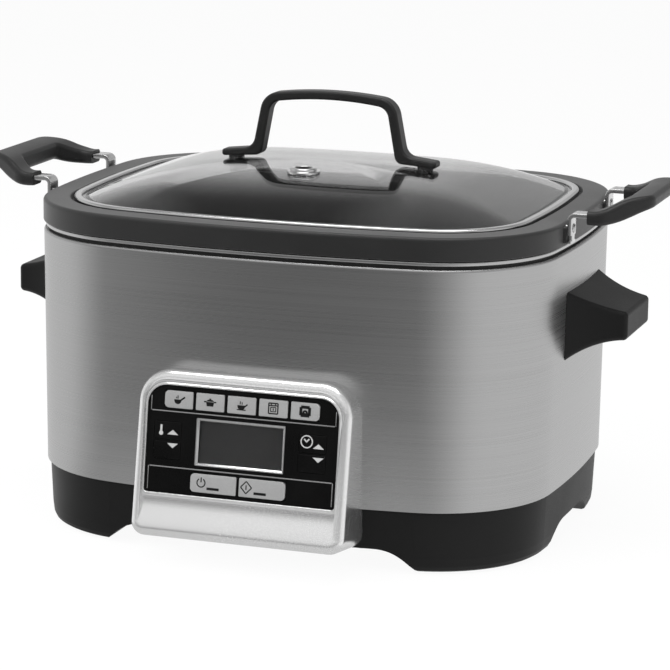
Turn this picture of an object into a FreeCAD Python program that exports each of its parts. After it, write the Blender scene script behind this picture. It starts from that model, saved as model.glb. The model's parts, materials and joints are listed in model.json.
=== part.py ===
# Slow cooker: steel housing on a black base, lift-out pot with two handles, glass lid and key panel.
# Millimetres, +Z up, front of the housing towards -Y, lowest point at z = 0.
import math
import os

import FreeCAD
import Part

V = FreeCAD.Vector

# Housing plan: half width, half depth, radii of the bowed front and ends, and corner radius
HALF_W = 168.0
HALF_D = 138.0
FRONT_BOW_R = 700.0
END_BOW_R = 780.0
CORNER_R = 78.0
# Distance that centres the whole object on the origin from front to back
CENTRE_SHIFT_Y = 14.0

# Steel shell
SHELL_Z0 = 39.5
SHELL_Z1 = 187.4
SHELL_DRAFT = 1.25
SHELL_T = 1.0
SHELL_EDGE_R = 1.2
SHELL_LIP_INSET = 8.5
SHELL_LIP_T = 1.2
FIT_GAP = 0.12
WIRE_WINDOW = (36.0, 62.0, 98.0)

# Liner tub with its rolled flange and the gasket under it
LINER_FLANGE_Z0 = 188.9
LINER_FLANGE_Z1 = 192.0
LINER_FLANGE_INSET = 1.2
LINER_FLANGE_R = 1.2
LINER_INSET = 10.0
LINER_T = 1.0
LINER_FLOOR_Z = 52.0
LINER_FLOOR_T = 1.2
GASKET_INSETS = (3.2, 9.6)

# Base skirt with corner feet and arches
SKIRT_PROFILE = ((8.0, 1.5), (6.2, 2.6), (5.1, 5.0), (4.5, 10.0), (3.2, 38.9))
SKIRT_LEDGE_INSET = 1.9
SKIRT_INNER_INSET = 8.0
SKIRT_UPSTAND = (3.0, 7.0, 45.0)
FOOT_TOP_Z = 14.5
FOOT_INNER_INSET = 34.0
FRONT_ARCH = (74.0, 104.0)
SIDE_ARCH = (18.0, 52.0)
ARCH_REACH = 200.0
PAD_XY = (127.0, 92.5)
PAD_R = 9.0
PAD_H = 3.2
PAD_GAP = 0.1

# Bottom plate and its screws
PLATE_INSET = 8.3
PLATE_Z0 = 14.6
PLATE_T = 2.0
VENT_SIZE = (44.0, 4.0)
VENT_ROWS = (-50.0, -38.0, -26.0, 26.0, 38.0, 50.0)
VENT_X = (-34.0, 34.0)
POST_XY = (64.0, 120.5)
POST_R = 4.5
POST_TOP_Z = 34.0
POST_RIB_T = 3.0
BASE_SCREW_R = 1.9
BASE_SCREW_TIP_Z = 30.0
BASE_HEAD_R = 3.6
BASE_HEAD_H = 2.2
SCREW_GAP = 0.06
HOLE_GAP = 0.35

# Carrying lugs on the ends
LUG_WALL_X = 160.0
LUG_END_X = 202.2
LUG_WALL_HALF = 46.0
LUG_END_HALF = 29.5
LUG_TOP = ((160.0, 166.0), (178.0, 156.4), (202.2, 149.6))
LUG_BOTTOM = ((160.0, 113.5), (177.0, 126.0), (202.2, 132.2))
LUG_SIDE_MID = (184.0, 33.5)
LUG_EDGE_R = 3.0
LUG_SCREW_Y = 22.0
LUG_SCREW_Z = 140.0
LUG_SCREW_R = 2.0
LUG_SCREW_TIP_X = 182.0
LUG_HEAD_X = 164.0
LUG_HEAD_R = 3.6
LUG_HEAD_T = 2.0

# Key panel: tilt, centre of its face, and outlines in panel width, height and depth
PANEL_TILT = 8.2
PANEL_Y = -159.8
PANEL_Z = 70.0
BEZEL_HALF_W = 67.6
BEZEL_V = (-51.0, 50.0)
BEZEL_DEPTH = 36.0
BEZEL_LOW_R = 13.0
BEZEL_TOP_R = 20.0
BEZEL_EDGE_R = 5.0
BEZEL_WALL = 3.0
BEZEL_FRONT_T = 5.5
BEZEL_RING = (1.3, 0.7)
FASCIA_HALF_W = 60.3
FASCIA_V = (-24.2, 40.6)
FASCIA_TOP_R = 12.0
FASCIA_LOW_R = 2.0
FASCIA_W = (-3.2, -0.6)
FASCIA_GAP = 0.2
FASCIA_LEDGE = 1.8
TRIM_V = (25.0, -8.6)
TRIM_H = 0.7
TRIM_W = (-1.0, -0.4)
BEZEL_SCREW_X = 56.5
BEZEL_SCREW_Z = (112.5, 28.0)
BEZEL_BOSS_R = 4.2
BEZEL_BOSS_Y = (-151.0, -162.5)
BEZEL_SCREW_R = 1.9
BEZEL_SCREW_LEN = 13.0
BEZEL_HEAD_Y = (-133.4, -124.6)
BEZEL_HEAD_R = 3.4
BEZEL_HEAD_T = 1.9

# Display
LCD_CENTRE = (-0.8, 8.2)
LCD_FRAME_SIZE = (56.4, 28.7)
LCD_FRAME_BAND = 1.7
LCD_FRAME_W = (-2.8, -0.1)
LCD_WINDOW_W = (-2.8, -1.2)
LCD_MODULE_W = (-9.8, -4.0)
LCD_GAP = 0.1

# Circuit board behind the fascia
BOARD_HALF_W = 57.0
BOARD_V = (-21.5, 37.5)
BOARD_W = (-11.6, -10.0)
BOARD_POST_UV = ((-55.0, 22.6), (54.6, 22.6), (-50.0, -14.5), (45.0, -14.5))
BOARD_POST_R = 2.4
BOARD_SCREW_R = 1.1
BOARD_SCREW_TIP_W = -5.0
BOARD_HEAD_R = 2.1
BOARD_HEAD_T = 1.3
SWITCH_SIZE = 6.0
SWITCH_W = (-10.0, -6.9)

# Keys: name, centre and size on the panel, height of the face, corner radius
KEY_GAP = 0.2
KEY_BACK_W = -4.2
KEY_STEM_R = 1.6
KEY_STEM_W = -5.9
LIGHT_KEY_W = 0.0
DARK_KEY_W = -0.45
MODE_KEY_U = (-41.0, -21.0, -1.0, 19.0, 39.0)
MODE_KEY_V = 32.4
MODE_KEY_SIZE = (18.0, 10.4)
MODE_KEY_NAMES = ("key_saute", "key_slow_cook", "key_steam", "key_bake", "key_roast")
WIDE_KEY_SIZE = (29.2, 11.2)
WIDE_KEY_V = -16.4
DARK_KEY_SIZE = (17.2, 10.8)
KEY_CORNER_R = 1.0
KEYS = [(name, u, MODE_KEY_V, MODE_KEY_SIZE, LIGHT_KEY_W) for name, u in zip(MODE_KEY_NAMES, MODE_KEY_U)]
KEYS += [
    ("key_power", -16.4, WIDE_KEY_V, WIDE_KEY_SIZE, LIGHT_KEY_W),
    ("key_start", 14.6, WIDE_KEY_V, WIDE_KEY_SIZE, LIGHT_KEY_W),
    ("key_temp_up", -47.2, 13.4, DARK_KEY_SIZE, DARK_KEY_W),
    ("key_temp_down", -47.2, 1.6, DARK_KEY_SIZE, DARK_KEY_W),
    ("key_time_up", 44.6, 13.4, DARK_KEY_SIZE, DARK_KEY_W),
    ("key_time_down", 44.6, 1.6, DARK_KEY_SIZE, DARK_KEY_W),
]

# Heater and sensor under the pot
HEATER_INSET = 36.0
HEATER_Z = (61.0, 65.4)
HEATER_BORE_R = 10.5
HEATER_POST_XY = (85.0, 45.0)
HEATER_POST_R = 4.0
ELEMENT_INSET = 55.0
ELEMENT_Z = 57.4
ELEMENT_R = 3.3
ELEMENT_PIN_X = 10.0
ELEMENT_PIN_R = 2.2
ELEMENT_PIN_Z = 44.0
WRAP_INSETS = (5.0, 8.4)
WRAP_Z = (70.0, 170.0)
FUSE_AT = (40.0, 60.0, 48.6)
FUSE_R = 3.2
FUSE_LEN = 22.0
PROBE_R = 7.0
PROBE_BORE_GAP = 0.08
PROBE_TIP_Z = 65.8
PROBE_COLLAR_R = 9.0
PROBE_COLLAR_Z = (40.0, 43.4)
GUIDE_SLEEVE_R = 9.2
GUIDE_TOP_Z = 62.5
GUIDE_CUP_R = 11.8
GUIDE_CUP_BORE_R = 9.6
GUIDE_CUP_Z = (28.0, 46.0, 51.9)
GUIDE_CAP_T = 4.0
SPRING_R = (6.2, 7.6)

# Supply in the base
SUPPLY_BOX = (42.0, -34.0, 82.0, 84.0)
SUPPLY_Z = 22.0
SUPPLY_T = 1.6
SUPPLY_POST_R = 3.0
SUPPLY_POST_INSET = 6.0
SUPPLY_PARTS = (
    (50.0, -24.0, 20.0, 16.0, 15.0),
    (80.0, -24.0, 30.0, 26.0, 22.0),
    (50.0, 20.0, 28.0, 14.0, 18.0),
)
CAPACITORS = ((96.0, 22.0, 6.0, 20.0), (112.0, 24.0, 5.0, 16.0))
TERMINAL_BOX = (-78.0, 70.0, 34.0, 18.0, 14.0)
TERMINAL_SLOTS = 3
TERMINAL_SLOT = (7.0, 6.0)
GLAND_X = -40.0
GLAND_Z = 27.0
GLAND_R = 7.0
GLAND_FLANGE_R = 10.5
GLAND_BORE_R = 3.8
GLAND_Y = (116.0, 133.4)
GLAND_FLANGE_T = 2.4
LEAD_R = 1.6
LEAD_DROP = 7.0
LEAD_RISE = 20.0
LEAD_SPREAD = 24.0

# Lift-out pot
RIM_INSET = -0.4
RIM_Z = (192.2, 206.4)
RIM_EDGE_R = 2.0
RIM_LIP_T = 3.2
RIM_SLAB_Z = 199.5
RECESS_INSET = 16.5
RECESS_Z = 202.8
POT_OUTSIDE = ((34.0, 66.0), (31.9, 66.7), (31.1, 68.6), (22.5, 199.8))
POT_INSIDE = ((37.0, 69.0), (34.9, 69.7), (34.1, 71.6), (25.5, 210.0))
STRAP_Y = 47.5
STRAP_W = 11.4
STRAP_T = 2.7
STRAP_X = 168.7
STRAP_FOOT_Z = 194.2
STRAP_TOP_Z = 213.0
STRAP_BEND_R = 4.6
STRAP_END_X = 190.0
STRAP_TONGUE = (6.0, 199.0, 195.8)
PAD_DEPTH = 5.0
RIVET_Z = 203.2
RIVET_R = 1.8
RIVET_LEN = 9.0
RIVET_HEAD_R = 2.7
RIVET_HEAD_T = 1.1

# Pot grips: lower and upper side profiles, plan outline and finger edge
GRIP_LOW = ((181.0, 206.6), (190.0, 206.6), (200.0, 209.0), (210.0, 213.6), (217.5, 216.4))
GRIP_HIGH = ((181.0, 214.9), (187.0, 215.2), (193.0, 217.4), (199.0, 220.6), (208.0, 223.2), (217.5, 223.8))
GRIP_ROOT_HALF = 55.0
GRIP_END_HALF = 36.0
GRIP_SHOULDER_X = 191.0
GRIP_END_R = 12.0
GRIP_ARM_Y = 40.0
GRIP_ARM_X = 187.0
GRIP_FINGER_X = 200.0
GRIP_FINGER_HALF = 28.0
GRIP_FINGER_R = 7.0
GRIP_EDGE_R = 3.0
GRIP_SLOT_GAP = 0.1
GRIP_SCREW_X = 186.5
GRIP_SCREW_R = 1.5
GRIP_HEAD_R = 2.8
GRIP_HEAD_T = 1.6

# Lid
LID_RIM_INSET = 18.8
LID_RIM_Z = (203.0, 207.8)
LID_RIM_BAND = 5.0
LID_RIM_WALL = 1.8
LID_RIM_EDGE_R = 1.4
LID_LOW_LIP = 0.7
LID_TOP_LIP = 1.5
GLASS_INSET = 20.8
GLASS_Z = (203.8, 206.2)
DOME_INSET = 26.0
DOME_RISE = 20.8
DOME_POWER = 3.0
DOME_STEPS = (1.0, 0.94, 0.86, 0.74, 0.58, 0.38, 0.16)
GLASS_T = 3.6
HANDLE_OUTER = ((71.3, 225.9), (71.3, 230.2), (50.4, 232.6), (43.6, 267.2))
HANDLE_INNER = ((38.4, 262.2), (44.7, 227.9))
HANDLE_OUTER_R = (1.8, 1.8, 8.0, 13.0)
HANDLE_INNER_R = (8.0, 5.0)
HANDLE_CROWN_Z = (270.8, 265.4)
HANDLE_HALF_DEPTH = 5.6
HANDLE_EDGE_R = 1.6
HANDLE_SCREW_X = 63.0
HANDLE_SCREW_R = 2.0
HANDLE_SCREW_TIP_Z = 229.4
BOSS_R = 5.0
BOSS_TOP_Z = 226.6
WASHER_R = 7.0
WASHER_Z = (219.2, 220.4)
LID_HEAD_R = 4.6
LID_HEAD_T = 2.4
GROMMET_XY = (-2.0, -45.0)
GROMMET_SEAT_R = 10.4
GROMMET_COLLAR_R = 6.6
GROMMET_BORE_R = 4.4
GROMMET_TUBE_R = 5.2
GROMMET_TOP_Z = 228.6
GROMMET_SEAT_Z = 226.9
GROMMET_LOW_Z = 220.6
GROMMET_LOW_T = 1.2

# Right and left, back and front
SIDES = (1, -1)
# How near an edge must lie to count as being in a plane
EDGE_TOL = 1e-3


# Centre of the corner arc, which touches the front and end arcs from inside
def corner_centre():
    front = V(0, HALF_D - FRONT_BOW_R, 0)
    end = V(HALF_W - END_BOW_R, 0, 0)
    to_front = FRONT_BOW_R - CORNER_R
    to_end = END_BOW_R - CORNER_R
    gap = end.sub(front)
    along = (to_front ** 2 - to_end ** 2 + gap.Length ** 2) / (2 * gap.Length)
    across = math.sqrt(to_front ** 2 - along ** 2)
    unit = gap.multiply(1 / gap.Length)
    normal = V(unit.y, -unit.x, 0)
    near = front.add(V(unit).multiply(along))
    first = near.add(V(normal).multiply(across))
    second = near.sub(V(normal).multiply(across))
    return first if first.x > second.x else second


CORNER = corner_centre()
ANGLE_END = math.atan2(CORNER.y, CORNER.x - (HALF_W - END_BOW_R))
ANGLE_FRONT = math.atan2(CORNER.y - (HALF_D - FRONT_BOW_R), CORNER.x)


# Closed housing outline at height z, moved inwards by inset and scaled about the middle
def plan_wire(inset, z, scale=1.0):
    r = CORNER_R - inset

    def at(angle):
        return (CORNER.x + r * math.cos(angle), CORNER.y + r * math.sin(angle))

    a = at(ANGLE_END)
    m = at((ANGLE_END + ANGLE_FRONT) / 2)
    b = at(ANGLE_FRONT)
    end = (HALF_W - inset, 0.0)
    front = (0.0, HALF_D - inset)

    def p(q, sx, sy):
        return V(q[0] * sx * scale, q[1] * sy * scale, z)

    arcs = [
        (p(a, 1, -1), p(end, 1, 1), p(a, 1, 1)),
        (p(a, 1, 1), p(m, 1, 1), p(b, 1, 1)),
        (p(b, 1, 1), p(front, 1, 1), p(b, -1, 1)),
        (p(b, -1, 1), p(m, -1, 1), p(a, -1, 1)),
        (p(a, -1, 1), p(end, -1, 1), p(a, -1, -1)),
        (p(a, -1, -1), p(m, -1, -1), p(b, -1, -1)),
        (p(b, -1, -1), p(front, 1, -1), p(b, 1, -1)),
        (p(b, 1, -1), p(m, 1, -1), p(a, 1, -1)),
    ]
    return Part.Wire([Part.Arc(*arc).toShape() for arc in arcs])


# Upright solid with the housing outline
def plan_solid(inset, z0, z1):
    return Part.Face(plan_wire(inset, z0)).extrude(V(0, 0, z1 - z0))


# Upright band between two insets
def plan_ring(outer, inner, z0, z1):
    return plan_solid(outer, z0, z1).cut(plan_solid(inner, z0 - 1, z1 + 1))


# Solid whose inset changes with height, from pairs of inset and height
def plan_stack(pairs, grow=0.0):
    wires = [plan_wire(inset - grow, z) for inset, z in pairs]
    return Part.makeLoft(wires, True, True)


# True where a range begins and ends at one value
def pinned(low, high, value):
    return abs(low - value) < EDGE_TOL and abs(high - value) < EDGE_TOL


# Edges that lie wholly at one height
def edges_at(shape, z):
    return [e for e in shape.Edges if pinned(e.BoundBox.ZMin, e.BoundBox.ZMax, z)]


# Edges that lie wholly in the plane y
def edges_in_y(shape, y):
    return [e for e in shape.Edges if pinned(e.BoundBox.YMin, e.BoundBox.YMax, y)]


# Edge along Y that passes through the given x and z
def edge_along_y(shape, x, z):
    return [e for e in edges_at(shape, z) if pinned(e.BoundBox.XMin, e.BoundBox.XMax, x)]


def fuse_all(shapes):
    return shapes[0].multiFuse(shapes[1:]).removeSplitter()


def cylinder_z(x, y, r, z0, z1):
    return Part.makeCylinder(r, z1 - z0, V(x, y, z0))


def cylinder_y(x, z, r, y0, y1):
    return Part.makeCylinder(r, y1 - y0, V(x, y0, z), V(0, 1, 0))


def cylinder_x(y, z, r, x0, x1):
    return Part.makeCylinder(r, x1 - x0, V(x0, y, z), V(1, 0, 0))


def mirror_x(shape):
    return shape.mirror(V(0, 0, 0), V(1, 0, 0))


def corners(x, y):
    return [(sx * x, sy * y) for sx in SIDES for sy in SIDES]


def polygon_face(points):
    return Part.Face(Part.makePolygon(points + points[:1]))


# Part outlines in the tilted panel: local x across, local y up the panel, local z out of it
PANEL_FRAME = FreeCAD.Placement(V(0, PANEL_Y, PANEL_Z), FreeCAD.Rotation(V(1, 0, 0), 90 - PANEL_TILT))


def to_panel(shape):
    moved = shape.copy()
    moved.Placement = PANEL_FRAME.multiply(moved.Placement)
    return moved


# Rounded plate in panel coordinates, radii of the two lower and the two upper corners
def panel_plate(half_w, v, low_r, top_r, w, centre_u=0.0):
    u0 = centre_u - half_w
    u1 = centre_u + half_w
    v0, v1 = v
    w0, w1 = w
    diag = 1 - math.sqrt(0.5)
    edges = []

    def line(p, q):
        edges.append(Part.makeLine(V(p[0], p[1], w0), V(q[0], q[1], w0)))

    def arc(p, m, q):
        edges.append(Part.Arc(V(p[0], p[1], w0), V(m[0], m[1], w0), V(q[0], q[1], w0)).toShape())

    line((u0 + low_r, v0), (u1 - low_r, v0))
    arc((u1 - low_r, v0), (u1 - diag * low_r, v0 + diag * low_r), (u1, v0 + low_r))
    line((u1, v0 + low_r), (u1, v1 - top_r))
    arc((u1, v1 - top_r), (u1 - diag * top_r, v1 - diag * top_r), (u1 - top_r, v1))
    line((u1 - top_r, v1), (u0 + top_r, v1))
    arc((u0 + top_r, v1), (u0 + diag * top_r, v1 - diag * top_r), (u0, v1 - top_r))
    line((u0, v1 - top_r), (u0, v0 + low_r))
    arc((u0, v0 + low_r), (u0 + diag * low_r, v0 + diag * low_r), (u0 + low_r, v0))
    return Part.Face(Part.Wire(edges)).extrude(V(0, 0, w1 - w0))


# Square-cornered box in panel coordinates
def panel_box(u0, u1, v0, v1, w0, w1):
    return Part.makeBox(u1 - u0, v1 - v0, w1 - w0, V(u0, v0, w0))


def panel_pin(u, v, r, w0, w1):
    return Part.makeCylinder(r, w1 - w0, V(u, v, w0))


# Outer surface of shell and skirt as one solid, for trimming what is fixed against them
def housing_envelope(grow):
    shell = plan_stack(((SHELL_DRAFT, SHELL_Z0), (0.0, SHELL_Z1)), grow)
    skirt = plan_stack(SKIRT_PROFILE[:-1] + ((SKIRT_PROFILE[-1][0], SHELL_Z0 + 1),), grow)
    ledge = plan_solid(SKIRT_LEDGE_INSET - grow, SKIRT_PROFILE[-1][1] - grow, SHELL_Z0 + 1)
    return fuse_all([shell, skirt, ledge])


# Steel shell with a turned-in top edge
def make_outer_shell():
    edge = SHELL_EDGE_R
    half = edge * (1 - math.sqrt(0.5))
    outer = plan_stack((
        (SHELL_DRAFT, SHELL_Z0),
        (0.0, SHELL_Z1 - edge),
        (half, SHELL_Z1 - half),
        (edge, SHELL_Z1),
    ))
    inner = plan_stack(((SHELL_DRAFT + SHELL_T, SHELL_Z0 - 1), (SHELL_T, SHELL_Z1 - SHELL_LIP_T)))
    mouth = plan_solid(SHELL_LIP_INSET, SHELL_Z1 - SHELL_LIP_T - 1, SHELL_Z1 + 1)
    half_x, z0, z1 = WIRE_WINDOW
    window = Part.makeBox(2 * half_x, HALF_D, z1 - z0, V(-half_x, -HALF_D - SHELL_LIP_INSET, z0))
    shell = outer.cut(inner).cut(mouth).cut(window)
    for side in SIDES:
        for y in (LUG_SCREW_Y, -LUG_SCREW_Y):
            x0 = min(side * LUG_HEAD_X, side * LUG_SCREW_TIP_X)
            x1 = max(side * LUG_HEAD_X, side * LUG_SCREW_TIP_X)
            shell = shell.cut(cylinder_x(y, LUG_SCREW_Z, LUG_SCREW_R + HOLE_GAP, x0, x1))
        x = side * BEZEL_SCREW_X
        r = BEZEL_SCREW_R + HOLE_GAP
        shell = shell.cut(cylinder_y(x, BEZEL_SCREW_Z[0], r, -HALF_D - 1, -HALF_D + SHELL_LIP_INSET))
    return shell


# Liner tub with the flange that carries the pot
def make_inner_liner():
    flange = plan_solid(LINER_FLANGE_INSET, LINER_FLANGE_Z0, LINER_FLANGE_Z1)
    rims = edges_at(flange, LINER_FLANGE_Z0) + edges_at(flange, LINER_FLANGE_Z1)
    flange = flange.makeFillet(LINER_FLANGE_R, rims)
    tub = plan_solid(LINER_INSET, LINER_FLOOR_Z, LINER_FLANGE_Z1)
    hollow = plan_solid(LINER_INSET + LINER_T, LINER_FLOOR_Z + LINER_FLOOR_T, LINER_FLANGE_Z1 + 1)
    liner = fuse_all([flange, tub]).cut(hollow)
    z0 = LINER_FLOOR_Z - 1
    z1 = LINER_FLOOR_Z + LINER_FLOOR_T + 1
    liner = liner.cut(cylinder_z(0, 0, GUIDE_SLEEVE_R + HOLE_GAP, z0, z1))
    for side in SIDES:
        liner = liner.cut(cylinder_z(side * ELEMENT_PIN_X, HALF_D - ELEMENT_INSET, ELEMENT_PIN_R + 1, z0, z1))
    return liner


def make_liner_gasket():
    return plan_ring(GASKET_INSETS[0], GASKET_INSETS[1], SHELL_Z1, LINER_FLANGE_Z0)


# Cutting prism for one pair of arches, with S-shaped ends
def arch_cutter(flat, foot, along_x):
    span = foot - flat
    low = -1.0

    def p(a, z):
        return V(0, a, z) if along_x else V(a, 0, z)

    def s_curve(sign):
        curve = Part.BezierCurve()
        curve.setPoles([
            p(sign * flat, FOOT_TOP_Z),
            p(sign * (flat + 0.55 * span), FOOT_TOP_Z),
            p(sign * (flat + 0.72 * span), 0.25 * FOOT_TOP_Z),
            p(sign * foot, low),
        ])
        return curve.toShape()

    top = Part.makeLine(p(-flat, FOOT_TOP_Z), p(flat, FOOT_TOP_Z))
    bottom = Part.makeLine(p(foot, low), p(-foot, low))
    face = Part.Face(Part.Wire(Part.__sortEdges__([top, s_curve(1), bottom, s_curve(-1)])))
    way = V(1, 0, 0) if along_x else V(0, 1, 0)
    face.translate(V(way).multiply(-ARCH_REACH))
    return face.extrude(V(way).multiply(2 * ARCH_REACH))


# Base skirt with four feet, arches, a ledge for the shell and posts for the bottom plate
def make_base_skirt():
    body = plan_stack(SKIRT_PROFILE)
    top_z = SKIRT_PROFILE[-1][1]
    ledge = plan_solid(SKIRT_LEDGE_INSET, top_z, SHELL_Z0)
    upstand = plan_solid(SKIRT_UPSTAND[0], SHELL_Z0, SKIRT_UPSTAND[2])
    body = fuse_all([body, ledge, upstand])
    body = body.cut(plan_solid(SKIRT_INNER_INSET, FOOT_TOP_Z, SKIRT_UPSTAND[2] + 1))
    body = body.cut(plan_solid(FOOT_INNER_INSET, 0, FOOT_TOP_Z + 1))
    body = body.cut(arch_cutter(FRONT_ARCH[0], FRONT_ARCH[1], False))
    body = body.cut(arch_cutter(SIDE_ARCH[0], SIDE_ARCH[1], True))
    post_z = PLATE_Z0 + PLATE_T
    depth = HALF_D - SKIRT_INNER_INSET + 1 - POST_XY[1]
    for x, y in corners(*POST_XY):
        post = cylinder_z(x, y, POST_R, post_z, POST_TOP_Z)
        y0 = y if y > 0 else y - depth
        rib = Part.makeBox(POST_RIB_T, depth, POST_TOP_Z - post_z, V(x - POST_RIB_T / 2, y0, post_z))
        body = body.fuse(post).fuse(rib)
        body = body.cut(cylinder_z(x, y, BASE_SCREW_R + SCREW_GAP, PLATE_Z0, BASE_SCREW_TIP_Z + 1))
    for x, y in corners(*PAD_XY):
        body = body.cut(cylinder_z(x, y, PAD_R + PAD_GAP, 0, PAD_H + PAD_GAP))
    for side in SIDES:
        x = side * BEZEL_SCREW_X
        body = body.cut(cylinder_y(x, BEZEL_SCREW_Z[1], BEZEL_SCREW_R + HOLE_GAP, -HALF_D, BEZEL_HEAD_Y[1]))
    body = body.cut(cylinder_y(GLAND_X, GLAND_Z, GLAND_R + PAD_GAP, GLAND_Y[0], HALF_D))
    return body.removeSplitter()


def make_foot_pads():
    return Part.Compound([cylinder_z(x, y, PAD_R, 0, PAD_H) for x, y in corners(*PAD_XY)])


# Bottom plate with vents, screw holes and standoffs for the supply board
def make_bottom_plate():
    z1 = PLATE_Z0 + PLATE_T
    plate = plan_solid(PLATE_INSET, PLATE_Z0, z1)
    length, width = VENT_SIZE
    for x in VENT_X:
        for y in VENT_ROWS:
            vent = Part.makeBox(length, width, PLATE_T + 2, V(x - length / 2, y - width / 2, PLATE_Z0 - 1))
            plate = plate.cut(vent)
    for x, y in corners(*POST_XY):
        plate = plate.cut(cylinder_z(x, y, BASE_SCREW_R + HOLE_GAP, PLATE_Z0 - 1, z1 + 1))
    x0, y0, length, width = SUPPLY_BOX
    for x in (x0 + SUPPLY_POST_INSET, x0 + length - SUPPLY_POST_INSET):
        for y in (y0 + SUPPLY_POST_INSET, y0 + width - SUPPLY_POST_INSET):
            plate = plate.fuse(cylinder_z(x, y, SUPPLY_POST_R, z1 - 1, SUPPLY_Z))
    return plate.removeSplitter()


def make_base_screws():
    screws = []
    for x, y in corners(*POST_XY):
        head = cylinder_z(x, y, BASE_HEAD_R, PLATE_Z0 - BASE_HEAD_H, PLATE_Z0)
        shank = cylinder_z(x, y, BASE_SCREW_R, PLATE_Z0, BASE_SCREW_TIP_Z)
        screws.append(head.fuse(shank).removeSplitter())
    return Part.Compound(screws)


# Carrying lug on the right end: hollowed above and below, narrowing outwards
def make_side_handle():
    def curve(points, fixed):
        return Part.Arc(*[fixed(a, b) for a, b in points]).toShape()

    def upright(x, z):
        return V(x, -LUG_WALL_HALF, z)

    top = curve(LUG_TOP, upright)
    low = curve(LUG_BOTTOM, upright)
    end = Part.makeLine(upright(*LUG_TOP[2]), upright(*LUG_BOTTOM[2]))
    wall = Part.makeLine(upright(*LUG_BOTTOM[0]), upright(*LUG_TOP[0]))
    side_face = Part.Face(Part.Wire(Part.__sortEdges__([top, end, low, wall])))
    block = side_face.extrude(V(0, 2 * LUG_WALL_HALF, 0))
    z0 = LUG_BOTTOM[0][1] - 1
    height = LUG_TOP[0][1] + 1 - z0

    def flat(x, y):
        return V(x, y, z0)

    mid_x, mid_y = LUG_SIDE_MID
    front = curve(((LUG_WALL_X, -LUG_WALL_HALF), (mid_x, -mid_y), (LUG_END_X, -LUG_END_HALF)), flat)
    back = curve(((LUG_END_X, LUG_END_HALF), (mid_x, mid_y), (LUG_WALL_X, LUG_WALL_HALF)), flat)
    tip = Part.makeLine(flat(LUG_END_X, -LUG_END_HALF), flat(LUG_END_X, LUG_END_HALF))
    root = Part.makeLine(flat(LUG_WALL_X, LUG_WALL_HALF), flat(LUG_WALL_X, -LUG_WALL_HALF))
    plan = Part.Face(Part.Wire([front, tip, back, root])).extrude(V(0, 0, height))
    lug = block.common(plan)
    outer_edges = [e for e in lug.Edges if e.BoundBox.XMax > LUG_WALL_X + 1]
    lug = lug.makeFillet(LUG_EDGE_R, outer_edges)
    lug = lug.cut(housing_envelope(FIT_GAP))
    for y in (LUG_SCREW_Y, -LUG_SCREW_Y):
        lug = lug.cut(cylinder_x(y, LUG_SCREW_Z, LUG_SCREW_R + SCREW_GAP, LUG_WALL_X, LUG_SCREW_TIP_X + 1))
    return lug


def make_side_handle_screws():
    screws = []
    for y in (LUG_SCREW_Y, -LUG_SCREW_Y):
        head = cylinder_x(y, LUG_SCREW_Z, LUG_HEAD_R, LUG_HEAD_X, LUG_HEAD_X + LUG_HEAD_T)
        shank = cylinder_x(y, LUG_SCREW_Z, LUG_SCREW_R, LUG_HEAD_X + LUG_HEAD_T, LUG_SCREW_TIP_X)
        screw = head.fuse(shank).removeSplitter()
        screws += [screw, mirror_x(screw)]
    return Part.Compound(screws)


# Silver surround with a raised ring about the fascia and a hollow back
def make_control_bezel():
    block = panel_plate(BEZEL_HALF_W, BEZEL_V, BEZEL_LOW_R, BEZEL_TOP_R, (-BEZEL_DEPTH, 0.0))
    block = block.makeFillet(BEZEL_EDGE_R, edges_at(block, 0.0))
    opening_half = FASCIA_HALF_W + FASCIA_GAP
    opening_v = (FASCIA_V[0] - FASCIA_GAP, FASCIA_V[1] + FASCIA_GAP)
    band, height = BEZEL_RING
    ring_v = (opening_v[0] - band, opening_v[1] + band)
    ring = panel_plate(opening_half + band, ring_v, FASCIA_LOW_R + band, FASCIA_TOP_R + band, (-1.0, height))
    block = block.fuse(ring)
    hollow_v = (BEZEL_V[0] + BEZEL_WALL, BEZEL_V[1] - BEZEL_WALL)
    hollow_w = (-BEZEL_DEPTH - 1, -BEZEL_FRONT_T)
    low_r = BEZEL_LOW_R - BEZEL_WALL
    top_r = BEZEL_TOP_R - BEZEL_WALL
    block = block.cut(panel_plate(BEZEL_HALF_W - BEZEL_WALL, hollow_v, low_r, top_r, hollow_w))
    opening_w = (FASCIA_W[0], height + 1)
    block = block.cut(panel_plate(opening_half, opening_v, FASCIA_LOW_R, FASCIA_TOP_R, opening_w))
    ledge_v = (FASCIA_V[0] + FASCIA_LEDGE, FASCIA_V[1] - FASCIA_LEDGE)
    ledge_w = (-BEZEL_FRONT_T - 1, height)
    ledge_r = FASCIA_TOP_R - FASCIA_LEDGE
    block = block.cut(panel_plate(FASCIA_HALF_W - FASCIA_LEDGE, ledge_v, FASCIA_LOW_R, ledge_r, ledge_w))
    bezel = to_panel(block)
    boss_end = -HALF_D + SHELL_LIP_INSET
    for z, y in zip(BEZEL_SCREW_Z, BEZEL_BOSS_Y):
        for side in SIDES:
            bezel = bezel.fuse(cylinder_y(side * BEZEL_SCREW_X, z, BEZEL_BOSS_R, y, boss_end))
    bezel = bezel.cut(housing_envelope(FIT_GAP))
    for z, y in zip(BEZEL_SCREW_Z, BEZEL_HEAD_Y):
        for side in SIDES:
            x = side * BEZEL_SCREW_X
            bezel = bezel.cut(cylinder_y(x, z, BEZEL_SCREW_R + SCREW_GAP, y - BEZEL_SCREW_LEN - 1, y))
    return bezel.removeSplitter()


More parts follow.
